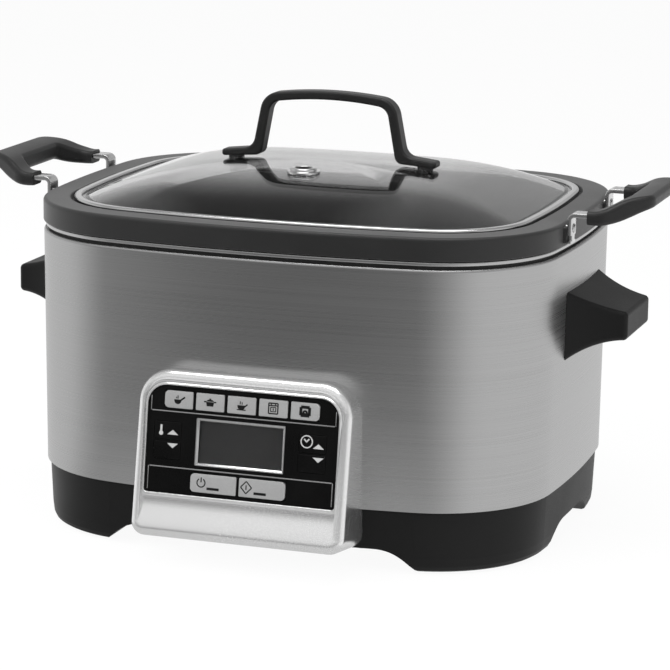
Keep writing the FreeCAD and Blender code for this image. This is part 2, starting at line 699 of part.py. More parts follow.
def make_bezel_screws():
    screws = []
    for z, y in zip(BEZEL_SCREW_Z, BEZEL_HEAD_Y):
        for side in SIDES:
            x = side * BEZEL_SCREW_X
            head = cylinder_y(x, z, BEZEL_HEAD_R, y, y + BEZEL_HEAD_T)
            shank = cylinder_y(x, z, BEZEL_SCREW_R, y - BEZEL_SCREW_LEN, y)
            screws.append(head.fuse(shank).removeSplitter())
    return Part.Compound(screws)


# Plate with the outline of a key, grown by a margin
def key_plate(key, margin, w0, w1):
    name, u, v, size, face = key
    half_v = size[1] / 2 + margin
    r = KEY_CORNER_R + margin
    return panel_plate(size[0] / 2 + margin, (v - half_v, v + half_v), r, r, (w0, w1), u)


def make_key(key):
    face = key[4]
    cap = key_plate(key, 0.0, KEY_BACK_W, face)
    stem = panel_pin(key[1], key[2], KEY_STEM_R, KEY_STEM_W, KEY_BACK_W)
    return to_panel(cap.fuse(stem).removeSplitter())


# Display rectangle, grown by a margin
def lcd_box(margin, w0, w1):
    half_u = LCD_FRAME_SIZE[0] / 2 + margin
    half_v = LCD_FRAME_SIZE[1] / 2 + margin
    u, v = LCD_CENTRE
    return panel_box(u - half_u, u + half_u, v - half_v, v + half_v, w0, w1)


# Silver lines across the fascia above and below the display
def trim_bars(margin):
    half = FASCIA_HALF_W - FASCIA_LEDGE + margin
    low = TRIM_W[0] - margin
    bars = []
    for v in TRIM_V:
        bars.append(panel_box(-half, half, v - TRIM_H / 2 - margin, v + TRIM_H / 2 + margin, low, TRIM_W[1]))
    return bars


# Black face with openings for keys and display, and posts for the circuit board
def make_control_fascia():
    plate = panel_plate(FASCIA_HALF_W, FASCIA_V, FASCIA_LOW_R, FASCIA_TOP_R, FASCIA_W)
    for key in KEYS:
        plate = plate.cut(key_plate(key, KEY_GAP, FASCIA_W[0] - 1, FASCIA_W[1] + 1))
    plate = plate.cut(lcd_box(LCD_GAP, FASCIA_W[0] - 1, FASCIA_W[1] + 1))
    for bar in trim_bars(SCREW_GAP):
        plate = plate.cut(bar)
    for u, v in BOARD_POST_UV:
        plate = plate.fuse(panel_pin(u, v, BOARD_POST_R, BOARD_W[1], FASCIA_W[0]))
        plate = plate.cut(panel_pin(u, v, BOARD_SCREW_R + SCREW_GAP, BOARD_W[1] - 1, BOARD_SCREW_TIP_W + 1))
    return to_panel(plate.removeSplitter())


def make_fascia_trim():
    return Part.Compound([to_panel(bar) for bar in trim_bars(0.0)])


def make_display_frame():
    frame = lcd_box(0.0, *LCD_FRAME_W)
    return to_panel(frame.cut(lcd_box(-LCD_FRAME_BAND, LCD_FRAME_W[0] - 1, LCD_FRAME_W[1] + 1)))


def make_display_window():
    return to_panel(lcd_box(-LCD_FRAME_BAND - LCD_GAP, *LCD_WINDOW_W))


def make_lcd_module():
    return to_panel(lcd_box(-LCD_GAP, *LCD_MODULE_W))


def make_control_board():
    board = panel_box(-BOARD_HALF_W, BOARD_HALF_W, BOARD_V[0], BOARD_V[1], BOARD_W[0], BOARD_W[1])
    for u, v in BOARD_POST_UV:
        board = board.cut(panel_pin(u, v, BOARD_SCREW_R + HOLE_GAP, BOARD_W[0] - 1, BOARD_W[1] + 1))
    return to_panel(board)


def make_board_screws():
    screws = []
    for u, v in BOARD_POST_UV:
        head = panel_pin(u, v, BOARD_HEAD_R, BOARD_W[0] - BOARD_HEAD_T, BOARD_W[0])
        shank = panel_pin(u, v, BOARD_SCREW_R, BOARD_W[0], BOARD_SCREW_TIP_W)
        screws.append(to_panel(head.fuse(shank).removeSplitter()))
    return Part.Compound(screws)


def make_key_switches():
    half = SWITCH_SIZE / 2
    switches = []
    for name, u, v, size, face in KEYS:
        switches.append(to_panel(panel_box(u - half, u + half, v - half, v + half, SWITCH_W[0], SWITCH_W[1])))
    return Part.Compound(switches)


# Cast plate under the pot, standing on four posts
def make_heating_plate():
    plate = plan_solid(HEATER_INSET, HEATER_Z[0], HEATER_Z[1])
    plate = plate.cut(cylinder_z(0, 0, HEATER_BORE_R, HEATER_Z[0] - 1, HEATER_Z[1] + 1))
    for x, y in corners(*HEATER_POST_XY):
        plate = plate.fuse(cylinder_z(x, y, HEATER_POST_R, LINER_FLOOR_Z + LINER_FLOOR_T, HEATER_Z[0] + 1))
    return plate.removeSplitter()


# Tubular element with two pins through the liner floor
def make_heating_element():
    path = plan_wire(ELEMENT_INSET, ELEMENT_Z)
    start = path.Edges[0].Curve.value(path.Edges[0].FirstParameter)
    tangent = path.Edges[0].tangentAt(path.Edges[0].FirstParameter)
    section = Part.Wire([Part.makeCircle(ELEMENT_R, start, tangent)])
    ring = path.makePipeShell([section], True, False)
    pin_y = HALF_D - ELEMENT_INSET
    pins = []
    for side in SIDES:
        pins.append(cylinder_z(side * ELEMENT_PIN_X, pin_y, ELEMENT_PIN_R, ELEMENT_PIN_Z, ELEMENT_Z))
    return fuse_all([ring] + pins)


def make_insulation_wrap():
    return plan_ring(WRAP_INSETS[0], WRAP_INSETS[1], WRAP_Z[0], WRAP_Z[1])


def make_thermal_fuse():
    x, y, z = FUSE_AT
    return cylinder_x(y, z, FUSE_R, x - FUSE_LEN / 2, x + FUSE_LEN / 2)


# Sleeve through the liner floor with a cup below for the sensor spring
def make_probe_guide():
    z0, shoulder, top = GUIDE_CUP_Z
    cup = cylinder_z(0, 0, GUIDE_CUP_R, z0, top)
    sleeve = cylinder_z(0, 0, GUIDE_SLEEVE_R, top, GUIDE_TOP_Z)
    guide = cup.fuse(sleeve)
    guide = guide.cut(cylinder_z(0, 0, GUIDE_CUP_BORE_R, z0 + GUIDE_CAP_T, shoulder))
    bore = cylinder_z(0, 0, PROBE_R + PROBE_BORE_GAP, shoulder - 1, GUIDE_TOP_Z + 1)
    return guide.cut(bore).removeSplitter()


def make_temperature_probe():
    shaft = cylinder_z(0, 0, PROBE_R, PROBE_COLLAR_Z[1], PROBE_TIP_Z)
    collar = cylinder_z(0, 0, PROBE_COLLAR_R, PROBE_COLLAR_Z[0], PROBE_COLLAR_Z[1])
    return shaft.fuse(collar).removeSplitter()


def make_probe_spring():
    z0 = GUIDE_CUP_Z[0] + GUIDE_CAP_T
    outer = cylinder_z(0, 0, SPRING_R[1], z0, PROBE_COLLAR_Z[0])
    return outer.cut(cylinder_z(0, 0, SPRING_R[0], z0 - 1, PROBE_COLLAR_Z[0] + 1))


def make_power_board():
    x, y, length, width = SUPPLY_BOX
    return Part.makeBox(length, width, SUPPLY_T, V(x, y, SUPPLY_Z))


def make_power_components():
    z = SUPPLY_Z + SUPPLY_T
    items = [Part.makeBox(length, width, height, V(x, y, z)) for x, y, length, width, height in SUPPLY_PARTS]
    items += [cylinder_z(x, y, r, z, z + height) for x, y, r, height in CAPACITORS]
    return Part.Compound(items)


def make_terminal_block():
    x, y, length, width, height = TERMINAL_BOX
    z = PLATE_Z0 + PLATE_T
    block = Part.makeBox(length, width, height, V(x, y, z))
    slot_w, slot_h = TERMINAL_SLOT
    pitch = length / TERMINAL_SLOTS
    for i in range(TERMINAL_SLOTS):
        corner = V(x + pitch * (i + 0.5) - slot_w / 2, y - 1, z + height - slot_h)
        block = block.cut(Part.makeBox(slot_w, width + 2, slot_h, corner))
    return block


# Flanged bush through the back of the skirt, where a supply lead enters
def make_cord_gland():
    tube = cylinder_y(GLAND_X, GLAND_Z, GLAND_R, GLAND_Y[0], GLAND_Y[1])
    flange = cylinder_y(GLAND_X, GLAND_Z, GLAND_FLANGE_R, GLAND_Y[1], GLAND_Y[1] + GLAND_FLANGE_T)
    bush = tube.fuse(flange).cut(cylinder_y(GLAND_X, GLAND_Z, GLAND_BORE_R, GLAND_Y[0] - 1, HALF_D))
    wall = plan_stack(SKIRT_PROFILE).cut(cylinder_y(GLAND_X, GLAND_Z, GLAND_R + PAD_GAP, 0, HALF_D))
    return bush.cut(wall).removeSplitter()


# Two leads from the element pins down to the terminal block
def make_element_leads():
    x, y, length, width, height = TERMINAL_BOX
    pitch = length / TERMINAL_SLOTS
    end_z = PLATE_Z0 + PLATE_T + height - TERMINAL_SLOT[1] + LEAD_R
    leads = []
    for i, side in enumerate((-1, 1)):
        start = V(side * ELEMENT_PIN_X, HALF_D - ELEMENT_INSET, ELEMENT_PIN_Z)
        end = V(x + pitch * (i + 0.5), y + width / 2, end_z)
        low = start.sub(V(0, 0, LEAD_DROP))
        above = end.add(V(0, 0, LEAD_RISE))
        curve = Part.BezierCurve()
        middle = V((start.x + end.x) / 2, start.y - side * LEAD_SPREAD, low.z)
        curve.setPoles([start, low, middle, above, end])
        path = Part.Wire([curve.toShape()])
        section = Part.Wire([Part.makeCircle(LEAD_R, start, V(0, 0, 1))])
        leads.append(path.makePipeShell([section], True, False))
    return Part.Compound(leads)


# Pot with a turned-down rim, a recess for the lid and pads for the straps
def make_cooking_pot():
    z0, z1 = RIM_Z
    rim = plan_solid(RIM_INSET, z0, z1)
    rim = rim.makeFillet(RIM_EDGE_R, edges_at(rim, z1))
    rim = rim.cut(plan_solid(RIM_INSET + RIM_LIP_T, z0 - 1, RIM_SLAB_Z))
    pads = []
    pad_h = z1 - RIM_EDGE_R - STRAP_FOOT_Z
    for x in (STRAP_X - PAD_DEPTH, -STRAP_X):
        for y in (STRAP_Y, -STRAP_Y):
            pads.append(Part.makeBox(PAD_DEPTH, STRAP_W, pad_h, V(x, y - STRAP_W / 2, STRAP_FOOT_Z)))
    pads = [pad.cut(plan_solid(RIM_INSET + RIM_LIP_T, z0, RIM_SLAB_Z)) for pad in pads]
    pot = fuse_all([rim, plan_stack(POT_OUTSIDE)] + pads)
    pot = pot.cut(plan_solid(RECESS_INSET, RECESS_Z, z1 + 1))
    pot = pot.cut(plan_stack(POT_INSIDE))
    for rivet in rivet_shanks(SCREW_GAP):
        pot = pot.cut(rivet)
    return pot.removeSplitter()


def rivet_shanks(gap):
    shanks = []
    x1 = STRAP_X + STRAP_T
    for y in (STRAP_Y, -STRAP_Y):
        shank = cylinder_x(y, RIVET_Z, RIVET_R + gap, x1 - RIVET_LEN - gap, x1)
        shanks += [shank, mirror_x(shank)]
    return shanks


def make_strap_rivets():
    rivets = []
    x1 = STRAP_X + STRAP_T
    for y in (STRAP_Y, -STRAP_Y):
        shank = cylinder_x(y, RIVET_Z, RIVET_R, x1 - RIVET_LEN, x1)
        head = cylinder_x(y, RIVET_Z, RIVET_HEAD_R, x1, x1 + RIVET_HEAD_T)
        rivet = shank.fuse(head).removeSplitter()
        rivets += [rivet, mirror_x(rivet)]
    return Part.Compound(rivets)


# Side view of a strap leg: up from its foot, round the bend and out into the grip
def strap_leg(y, grow):
    x0 = STRAP_X - grow
    x1 = STRAP_X + STRAP_T + grow
    z0 = STRAP_FOOT_Z - grow
    z1 = STRAP_TOP_Z + grow
    under = STRAP_TOP_Z - STRAP_T - grow
    y0 = y - STRAP_W / 2 - grow
    points = [
        V(x0, y0, z0), V(x1, y0, z0), V(x1, y0, under),
        V(STRAP_END_X + grow, y0, under), V(STRAP_END_X + grow, y0, z1), V(x0, y0, z1),
    ]
    leg = polygon_face(points).extrude(V(0, STRAP_W + 2 * grow, 0))
    return leg.makeFillet(STRAP_BEND_R, edge_along_y(leg, x0, z1))


# Strap: two legs, each screwed into an arm of the grip and narrowing to a tongue with a T foot
def make_pot_strap(grow=0.0):
    strap = Part.Compound([strap_leg(y, grow) for y in (STRAP_Y, -STRAP_Y)])
    if grow:
        return strap
    low = STRAP_TOP_Z - STRAP_T
    tongue_w, notch_z1, notch_z0 = STRAP_TONGUE
    notch = (STRAP_W - tongue_w) / 2
    for y in (STRAP_Y, -STRAP_Y):
        for y0 in (y - STRAP_W / 2, y + STRAP_W / 2 - notch):
            corner = V(STRAP_X - 1, y0, notch_z0)
            strap = strap.cut(Part.makeBox(STRAP_T + 2, notch, notch_z1 - notch_z0, corner))
        strap = strap.cut(cylinder_x(y, RIVET_Z, RIVET_R + SCREW_GAP, STRAP_X - 1, STRAP_X + STRAP_T + 1))
        strap = strap.cut(cylinder_z(GRIP_SCREW_X, y, GRIP_SCREW_R + SCREW_GAP, low - 1, STRAP_TOP_Z + 1))
    return strap


# Grip: S-shaped in side view, two arms that close in on a bar with the finger gap between them
def make_pot_grip():
    def upright(x, z):
        return V(x, -GRIP_ROOT_HALF, z)

    low = Part.BSplineCurve()
    low.interpolate([upright(x, z) for x, z in GRIP_LOW])
    high = Part.BSplineCurve()
    high.interpolate([upright(x, z) for x, z in GRIP_HIGH])
    root = Part.makeLine(upright(*GRIP_HIGH[0]), upright(*GRIP_LOW[0]))
    end = Part.makeLine(upright(*GRIP_LOW[-1]), upright(*GRIP_HIGH[-1]))
    section = Part.Face(Part.Wire(Part.__sortEdges__([low.toShape(), end, high.toShape(), root])))
    block = section.extrude(V(0, 2 * GRIP_ROOT_HALF, 0))
    x0 = GRIP_LOW[0][0]
    x1 = GRIP_LOW[-1][0]
    z0 = GRIP_LOW[0][1] - 1
    height = GRIP_HIGH[-1][1] + 3 - z0
    outline = [
        V(x0, -GRIP_ROOT_HALF, z0), V(GRIP_SHOULDER_X, -GRIP_ROOT_HALF, z0), V(x1, -GRIP_END_HALF, z0),
        V(x1, GRIP_END_HALF, z0), V(GRIP_SHOULDER_X, GRIP_ROOT_HALF, z0), V(x0, GRIP_ROOT_HALF, z0),
        V(x0, GRIP_ARM_Y, z0), V(GRIP_ARM_X, GRIP_ARM_Y, z0), V(GRIP_FINGER_X, GRIP_FINGER_HALF, z0),
        V(GRIP_FINGER_X, -GRIP_FINGER_HALF, z0), V(GRIP_ARM_X, -GRIP_ARM_Y, z0), V(x0, -GRIP_ARM_Y, z0),
    ]
    plan = polygon_face(outline).extrude(V(0, 0, height))
    plan = plan.makeFillet(GRIP_END_R, upright_edges(plan, x1) + upright_edges(plan, GRIP_SHOULDER_X))
    for x in (GRIP_FINGER_X, GRIP_ARM_X):
        plan = plan.makeFillet(GRIP_FINGER_R, upright_edges(plan, x))
    grip = block.common(plan)
    rounded = [e for e in grip.Edges if e.BoundBox.XMax > x0 + 1 and not is_upright(e)]
    grip = grip.makeFillet(GRIP_EDGE_R, rounded)
    grip = grip.cut(make_pot_strap(GRIP_SLOT_GAP))
    for screw in grip_screw_set(SCREW_GAP):
        grip = grip.cut(screw)
    return grip


def is_upright(edge):
    return edge.BoundBox.XLength < EDGE_TOL and edge.BoundBox.YLength < EDGE_TOL


def upright_edges(shape, x):
    return [e for e in shape.Edges if is_upright(e) and abs(e.BoundBox.XMin - x) < EDGE_TOL]


# Screws from under the grip into the strap
def grip_screw_set(gap):
    x = GRIP_SCREW_X
    z0 = GRIP_LOW[0][1]
    screws = []
    for y in (STRAP_Y, -STRAP_Y):
        head = cylinder_z(x, y, GRIP_HEAD_R + gap, z0 - gap, z0 + GRIP_HEAD_T + gap)
        shank = cylinder_z(x, y, GRIP_SCREW_R + gap, z0, STRAP_TOP_Z)
        screws.append(head.fuse(shank).removeSplitter())
    return screws


def make_grip_screws():
    right = grip_screw_set(0.0)
    return Part.Compound(right + [mirror_x(screw) for screw in right])


# Dome over the scaled outline, rising as one minus the cube of the distance from the middle
def dome_solid(drop):
    wires = []
    for s in DOME_STEPS:
        wires.append(plan_wire(DOME_INSET, GLASS_Z[1] + DOME_RISE * (1 - s ** DOME_POWER) - drop, s))
    return Part.makeLoft(wires, True, False)


def make_lid_glass():
    plate = plan_solid(GLASS_INSET, GLASS_Z[0], GLASS_Z[1])
    glass = plate.fuse(dome_solid(0.0)).cut(dome_solid(GLASS_T))
    top = GLASS_Z[1] + DOME_RISE + 1
    for side in SIDES:
        glass = glass.cut(cylinder_z(side * HANDLE_SCREW_X, 0, HANDLE_SCREW_R + HOLE_GAP, GLASS_Z[1], top))
    glass = glass.cut(cylinder_z(GROMMET_XY[0], GROMMET_XY[1], GROMMET_TUBE_R + PAD_GAP, GLASS_Z[1], top))
    return glass.removeSplitter()


# Channel round the edge of the glass
def make_lid_rim():
    z0, z1 = LID_RIM_Z
    body = plan_solid(LID_RIM_INSET, z0, z1)
    body = body.makeFillet(LID_RIM_EDGE_R, edges_at(body, z1))
    body = body.cut(plan_solid(LID_RIM_INSET + LID_RIM_BAND, z0 - 1, z1 + 1))
    channel = plan_solid(LID_RIM_INSET + LID_RIM_WALL, z0 + LID_LOW_LIP, z1 - LID_TOP_LIP)
    return body.cut(channel)


# Handle: a flat strip bent outwards into feet, up the legs and over an arched top
def make_lid_handle():
    y0 = -HANDLE_HALF_DEPTH

    def side_line(points, side):
        return [V(side * x, y0, z) for x, z in points]

    right = side_line(HANDLE_INNER + HANDLE_OUTER, 1)
    left = side_line(HANDLE_INNER + HANDLE_OUTER, -1)
    edges = [Part.makeLine(p, q) for line in (right, left) for p, q in zip(line, line[1:])]
    for end, crown in zip((-1, 0), HANDLE_CROWN_Z):
        edges.append(Part.Arc(right[end], V(0, y0, crown), left[end]).toShape())
    face = Part.Face(Part.Wire(Part.__sortEdges__(edges)))
    bar = face.extrude(V(0, 2 * HANDLE_HALF_DEPTH, 0))
    rounds = list(zip(HANDLE_OUTER, HANDLE_OUTER_R)) + list(zip(HANDLE_INNER, HANDLE_INNER_R))
    for (x, z), r in rounds:
        for side in SIDES:
            bar = bar.makeFillet(r, edge_along_y(bar, side * x, z))
    bar = bar.makeFillet(HANDLE_EDGE_R, edges_in_y(bar, y0) + edges_in_y(bar, -y0))
    hole_r = HANDLE_SCREW_R + SCREW_GAP
    for side in SIDES:
        bar = bar.cut(cylinder_z(side * HANDLE_SCREW_X, 0, hole_r, GLASS_Z[1], HANDLE_SCREW_TIP_Z))
    return bar


# Spacers between the glass and the handle feet
def make_lid_handle_bosses():
    handle = make_lid_handle()
    bosses = []
    for side in SIDES:
        x = side * HANDLE_SCREW_X
        boss = cylinder_z(x, 0, BOSS_R, GLASS_Z[1] + DOME_RISE / 2, BOSS_TOP_Z + 3)
        boss = boss.cut(dome_solid(0.0)).cut(handle)
        boss = boss.cut(cylinder_z(x, 0, HANDLE_SCREW_R + SCREW_GAP, GLASS_Z[1], HANDLE_SCREW_TIP_Z))
        bosses.append(sorted(boss.Solids, key=lambda s: s.BoundBox.ZMin)[0])
    return Part.Compound(bosses)


def make_lid_handle_washers():
    washers = []
    for side in SIDES:
        x = side * HANDLE_SCREW_X
        washer = cylinder_z(x, 0, WASHER_R, WASHER_Z[0], WASHER_Z[1])
        hole = cylinder_z(x, 0, HANDLE_SCREW_R + HOLE_GAP, WASHER_Z[0] - 1, WASHER_Z[1] + 1)
        washers.append(washer.cut(hole))
    return Part.Compound(washers)


def make_lid_handle_screws():
    screws = []
    for side in SIDES:
        x = side * HANDLE_SCREW_X
        head = cylinder_z(x, 0, LID_HEAD_R, WASHER_Z[0] - LID_HEAD_T, WASHER_Z[0])
        shank = cylinder_z(x, 0, HANDLE_SCREW_R, WASHER_Z[0], HANDLE_SCREW_TIP_Z - 1)
        screws.append(head.fuse(shank).removeSplitter())
    return Part.Compound(screws)


# Steel eyelet for steam, with a seat that follows the glass
def make_vent_grommet():
    x, y = GROMMET_XY
    seat = cylinder_z(x, y, GROMMET_SEAT_R, GLASS_Z[1] + DOME_RISE / 2, GROMMET_SEAT_Z)
    collar = cylinder_z(x, y, GROMMET_COLLAR_R, GLASS_Z[1] + DOME_RISE / 2, GROMMET_TOP_Z)
    upper = seat.fuse(collar).cut(dome_solid(0.0))
    tube = cylinder_z(x, y, GROMMET_TUBE_R, GROMMET_LOW_Z, GROMMET_SEAT_Z)
    low = cylinder_z(x, y, GROMMET_COLLAR_R, GROMMET_LOW_Z - GROMMET_LOW_T, GROMMET_LOW_Z)
    eyelet = fuse_all([upper, tube, low])
    return eyelet.cut(cylinder_z(x, y, GROMMET_BORE_R, GROMMET_LOW_Z - GROMMET_LOW_T - 1, GROMMET_TOP_Z + 1))


# One file per node, moved so that the whole object is centred from front to back
def save(name, shape):
    placed = shape.copy()
    placed.translate(V(0, CENTRE_SHIFT_Y, 0))
    placed.exportStep("parts/" + name + ".step")


def main():
    os.makedirs("parts", exist_ok=True)
    handle = make_side_handle()
    strap = make_pot_strap()
    grip = make_pot_grip()
    nodes = {
        "outer_shell": make_outer_shell(),
        "inner_liner": make_inner_liner(),
        "liner_gasket": make_liner_gasket(),
        "base_skirt": make_base_skirt(),
        "foot_pads": make_foot_pads(),
        "bottom_plate": make_bottom_plate(),
        "base_screws": make_base_screws(),
        "side_handle_right": handle,
        "side_handle_left": mirror_x(handle),
        "side_handle_screws": make_side_handle_screws(),
        "control_bezel": make_control_bezel(),
        "bezel_screws": make_bezel_screws(),
        "control_fascia": make_control_fascia(),
        "fascia_trim": make_fascia_trim(),
        "display_frame": make_display_frame(),
        "display_window": make_display_window(),
        "lcd_module": make_lcd_module(),
        "control_board": make_control_board(),
        "board_screws": make_board_screws(),
        "key_switches": make_key_switches(),
        "heating_plate": make_heating_plate(),
        "heating_element": make_heating_element(),
        "insulation_wrap": make_insulation_wrap(),
        "thermal_fuse": make_thermal_fuse(),
        "probe_guide": make_probe_guide(),
        "temperature_probe": make_temperature_probe(),
        "probe_spring": make_probe_spring(),
        "power_board": make_power_board(),
        "power_components": make_power_components(),
        "terminal_block": make_terminal_block(),
        "cord_gland": make_cord_gland(),
        "element_leads": make_element_leads(),
        "cooking_pot": make_cooking_pot(),
        "pot_strap_right": strap,
        "pot_strap_left": mirror_x(strap),
        "strap_rivets": make_strap_rivets(),
        "pot_grip_right": grip,
        "pot_grip_left": mirror_x(grip),
        "grip_screws": make_grip_screws(),
        "lid_glass": make_lid_glass(),
        "lid_rim": make_lid_rim(),
        "lid_handle": make_lid_handle(),
        "lid_handle_bosses": make_lid_handle_bosses(),
        "lid_handle_washers": make_lid_handle_washers(),
        "lid_handle_screws": make_lid_handle_screws(),
        "vent_grommet": make_vent_grommet(),
    }
    for key in KEYS:
        nodes[key[0]] = make_key(key)
    for name, shape in nodes.items():
        save(name, shape)
        print(name, len(shape.Solids), round(shape.Volume / 1000, 2), shape.isValid())


main()
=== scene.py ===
import json
import math

import bpy
import numpy as np
from mathutils import Matrix, Vector


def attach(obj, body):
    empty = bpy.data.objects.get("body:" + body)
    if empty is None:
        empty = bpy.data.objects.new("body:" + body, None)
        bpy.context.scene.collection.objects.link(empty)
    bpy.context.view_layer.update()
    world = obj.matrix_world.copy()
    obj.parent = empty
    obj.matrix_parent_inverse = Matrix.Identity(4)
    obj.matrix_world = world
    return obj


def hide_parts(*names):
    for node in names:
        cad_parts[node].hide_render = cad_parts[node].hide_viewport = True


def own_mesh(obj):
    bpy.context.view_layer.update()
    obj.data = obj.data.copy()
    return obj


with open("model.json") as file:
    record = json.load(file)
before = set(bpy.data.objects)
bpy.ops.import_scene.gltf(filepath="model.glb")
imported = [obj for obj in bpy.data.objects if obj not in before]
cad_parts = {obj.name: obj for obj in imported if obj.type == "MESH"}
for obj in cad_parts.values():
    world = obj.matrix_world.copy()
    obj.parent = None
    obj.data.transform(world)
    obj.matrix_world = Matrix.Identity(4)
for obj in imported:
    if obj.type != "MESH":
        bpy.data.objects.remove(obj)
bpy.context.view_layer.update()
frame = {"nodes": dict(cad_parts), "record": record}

# Slow cooker with a brushed housing, lift-out pot, glass lid and tilted key panel.
# Shapes are worked out in millimetres about the housing's middle and go into the mesh in metres.
nodes = frame["nodes"]
mm = 0.001
shiftY = 14.0  # the housing's middle lies this far behind the frame's origin
holdMost, holdShare = 0.4, 0.25  # how far past an arc its holding point lies, at most and by its radius
print("frame loaded:", len(nodes), "nodes")


# arrays to meshes

def gridQuads(rows, columns, wrapRows, wrapColumns):
    # every cell of a grid of points becomes one four-sided face
    index = np.arange(rows * columns).reshape(rows, columns)
    if wrapRows:
        index = np.vstack([index, index[:1]])
    if wrapColumns:
        index = np.hstack([index, index[:, :1]])
    corners = [index[:-1, :-1], index[1:, :-1], index[1:, 1:], index[:-1, 1:]]
    return np.stack(corners, axis=-1).reshape(-1, 4)


def enclosed(points, quads, caps):
    # six times the volume inside the faces, negative when they point inwards
    a, b, c, d = (points[quads[:, k]] for k in range(4))
    total = (a * np.cross(b, c)).sum() + (a * np.cross(c, d)).sum()
    for cap in caps:
        ring = points[cap]
        first = np.broadcast_to(ring[0], ring[1:-1].shape)
        total += (first * np.cross(ring[1:-1], ring[2:])).sum()
    return total


def solid(grid, wrapRows=True, wrapColumns=False):
    # closed body from a grid: open ends are shut with one flat face each
    rows, columns = grid.shape[:2]
    points = grid.reshape(-1, 3)
    quads = gridQuads(rows, columns, wrapRows, wrapColumns)
    index = np.arange(rows * columns).reshape(rows, columns)
    caps = []
    if wrapRows and not wrapColumns:
        caps = [index[::-1, 0], index[:, -1]]
    if wrapColumns and not wrapRows:
        caps = [index[0, :], index[-1, ::-1]]
    if enclosed(points, quads, caps) < 0:
        quads = quads[:, ::-1]
        caps = [cap[::-1] for cap in caps]
    return dict(points=points, quads=quads, caps=caps)


def mirrored(body):
    # the same body on the other side of the middle plane
    points = body["points"] * [-1, 1, 1]
    return dict(points=points, quads=body["quads"][:, ::-1], caps=[c[::-1] for c in body["caps"]])


def putPiece(name, bodies, material, rider, replaced=(), sharp=32):
    # one mesh from all the bodies, smooth up to the sharp angle, riding on one part of the frame
    points, faces, start = [], [], 0
    for body in bodies:
        points.append(body["points"])
        faces += (body["quads"] + start).tolist() + [(cap + start).tolist() for cap in body["caps"]]
        start += len(body["points"])
    place = (np.vstack(points) + [0, shiftY, 0]) * mm
    mesh = bpy.data.meshes.new(name)
    mesh.from_pydata(place.tolist(), [], faces)
    mesh.polygons.foreach_set("use_smooth", np.ones(len(mesh.polygons), bool))
    mesh.set_sharp_from_angle(angle=math.radians(sharp))
    mesh.materials.append(material)
    piece = bpy.data.objects.new(name, mesh)
    bpy.context.scene.collection.objects.link(piece)
    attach(piece, rider)
    if replaced:
        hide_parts(*replaced)
    return piece


# lines and profiles

def roundCorners(points, radii, steps=6, closed=True):
    # each corner becomes an arc that touches both of its sides, with a holding point just outside each end
    points = np.asarray(points, float)
    runs = []
    for i, corner in enumerate(points):
        ending = not closed and i in (0, len(points) - 1)
        if ending or radii[i] <= 0:
            runs.append(corner[None])
            continue
        back = points[i - 1] - corner
        onward = points[(i + 1) % len(points)] - corner
        back /= np.hypot(*back)
        onward /= np.hypot(*onward)
        half = 0.5 * math.acos(np.clip(back @ onward, -1, 1))
        reach = radii[i] / math.tan(half)
        middle = corner + (back + onward) / np.hypot(*(back + onward)) * radii[i] / math.sin(half)
        first = corner + back * reach - middle
        last = corner + onward * reach - middle
        turn = math.atan2(first[0] * last[1] - first[1] * last[0], first @ last)
        angle = math.atan2(first[1], first[0]) + turn * np.linspace(0, 1, steps + 1)
        arc = middle + radii[i] * np.column_stack([np.cos(angle), np.sin(angle)])
        hold = min(holdMost, holdShare * radii[i])
        runs += [arc[:1] + back * hold, arc, arc[-1:] + onward * hold]
    return np.vstack(runs)


def roundedProfile(corners, steps=6, closed=True):
    # corners given as inset, height and radius
    corners = np.asarray(corners, float)
    return roundCorners(corners[:, :2], corners[:, 2], steps, closed)


def roundedBox(halfU, halfV, radii, centre=(0.0, 0.0), steps=6):
    # rectangle with four corner radii, from the lower left, anticlockwise
    corners = np.array([(-halfU, -halfV), (halfU, -halfV), (halfU, halfV), (-halfU, halfV)])
    return roundCorners(corners + centre, radii, steps)


def outwardNormals(path):
    # mean of the two neighbouring sides, turned a quarter to the right of an anticlockwise path
    along = np.roll(path, -1, axis=0) - path
    along /= np.linalg.norm(along, axis=1, keepdims=True)
    mean = along + np.roll(along, 1, axis=0)
    mean /= np.linalg.norm(mean, axis=1, keepdims=True)
    return np.column_stack([mean[:, 1], -mean[:, 0]])


def lifted(flat, height):
    # rows of flat points, each given the height of its profile point
    lift = np.broadcast_to(height, flat.shape[:2])
    return np.concatenate([flat, lift[..., None]], axis=2)


def insetRows(path, profile):
    # a closed path drawn once per profile point, moved in by its inset; the third value is its height
    inset, height = np.asarray(profile, float).T
    return lifted(path[:, None, :] - inset[None, :, None] * outwardNormals(path)[:, None, :], height)


def turned(profile, axis, count=40):
    # profile of radius and height spun about an upright axis
    radius, height = np.asarray(profile, float).T
    angle = np.linspace(0, 2 * math.pi, count, endpoint=False)[:, None]
    x = axis[0] + radius * np.cos(angle)
    y = axis[1] + radius * np.sin(angle)
    return np.stack([x, y, np.broadcast_to(height, x.shape)], axis=-1)


# housing outline

planShape = dict(halfWidth=168.0, halfDepth=138.0, frontBow=700.0, endBow=780.0, corner=78.0,
                 endSteps=9, cornerSteps=22, frontSteps=12)


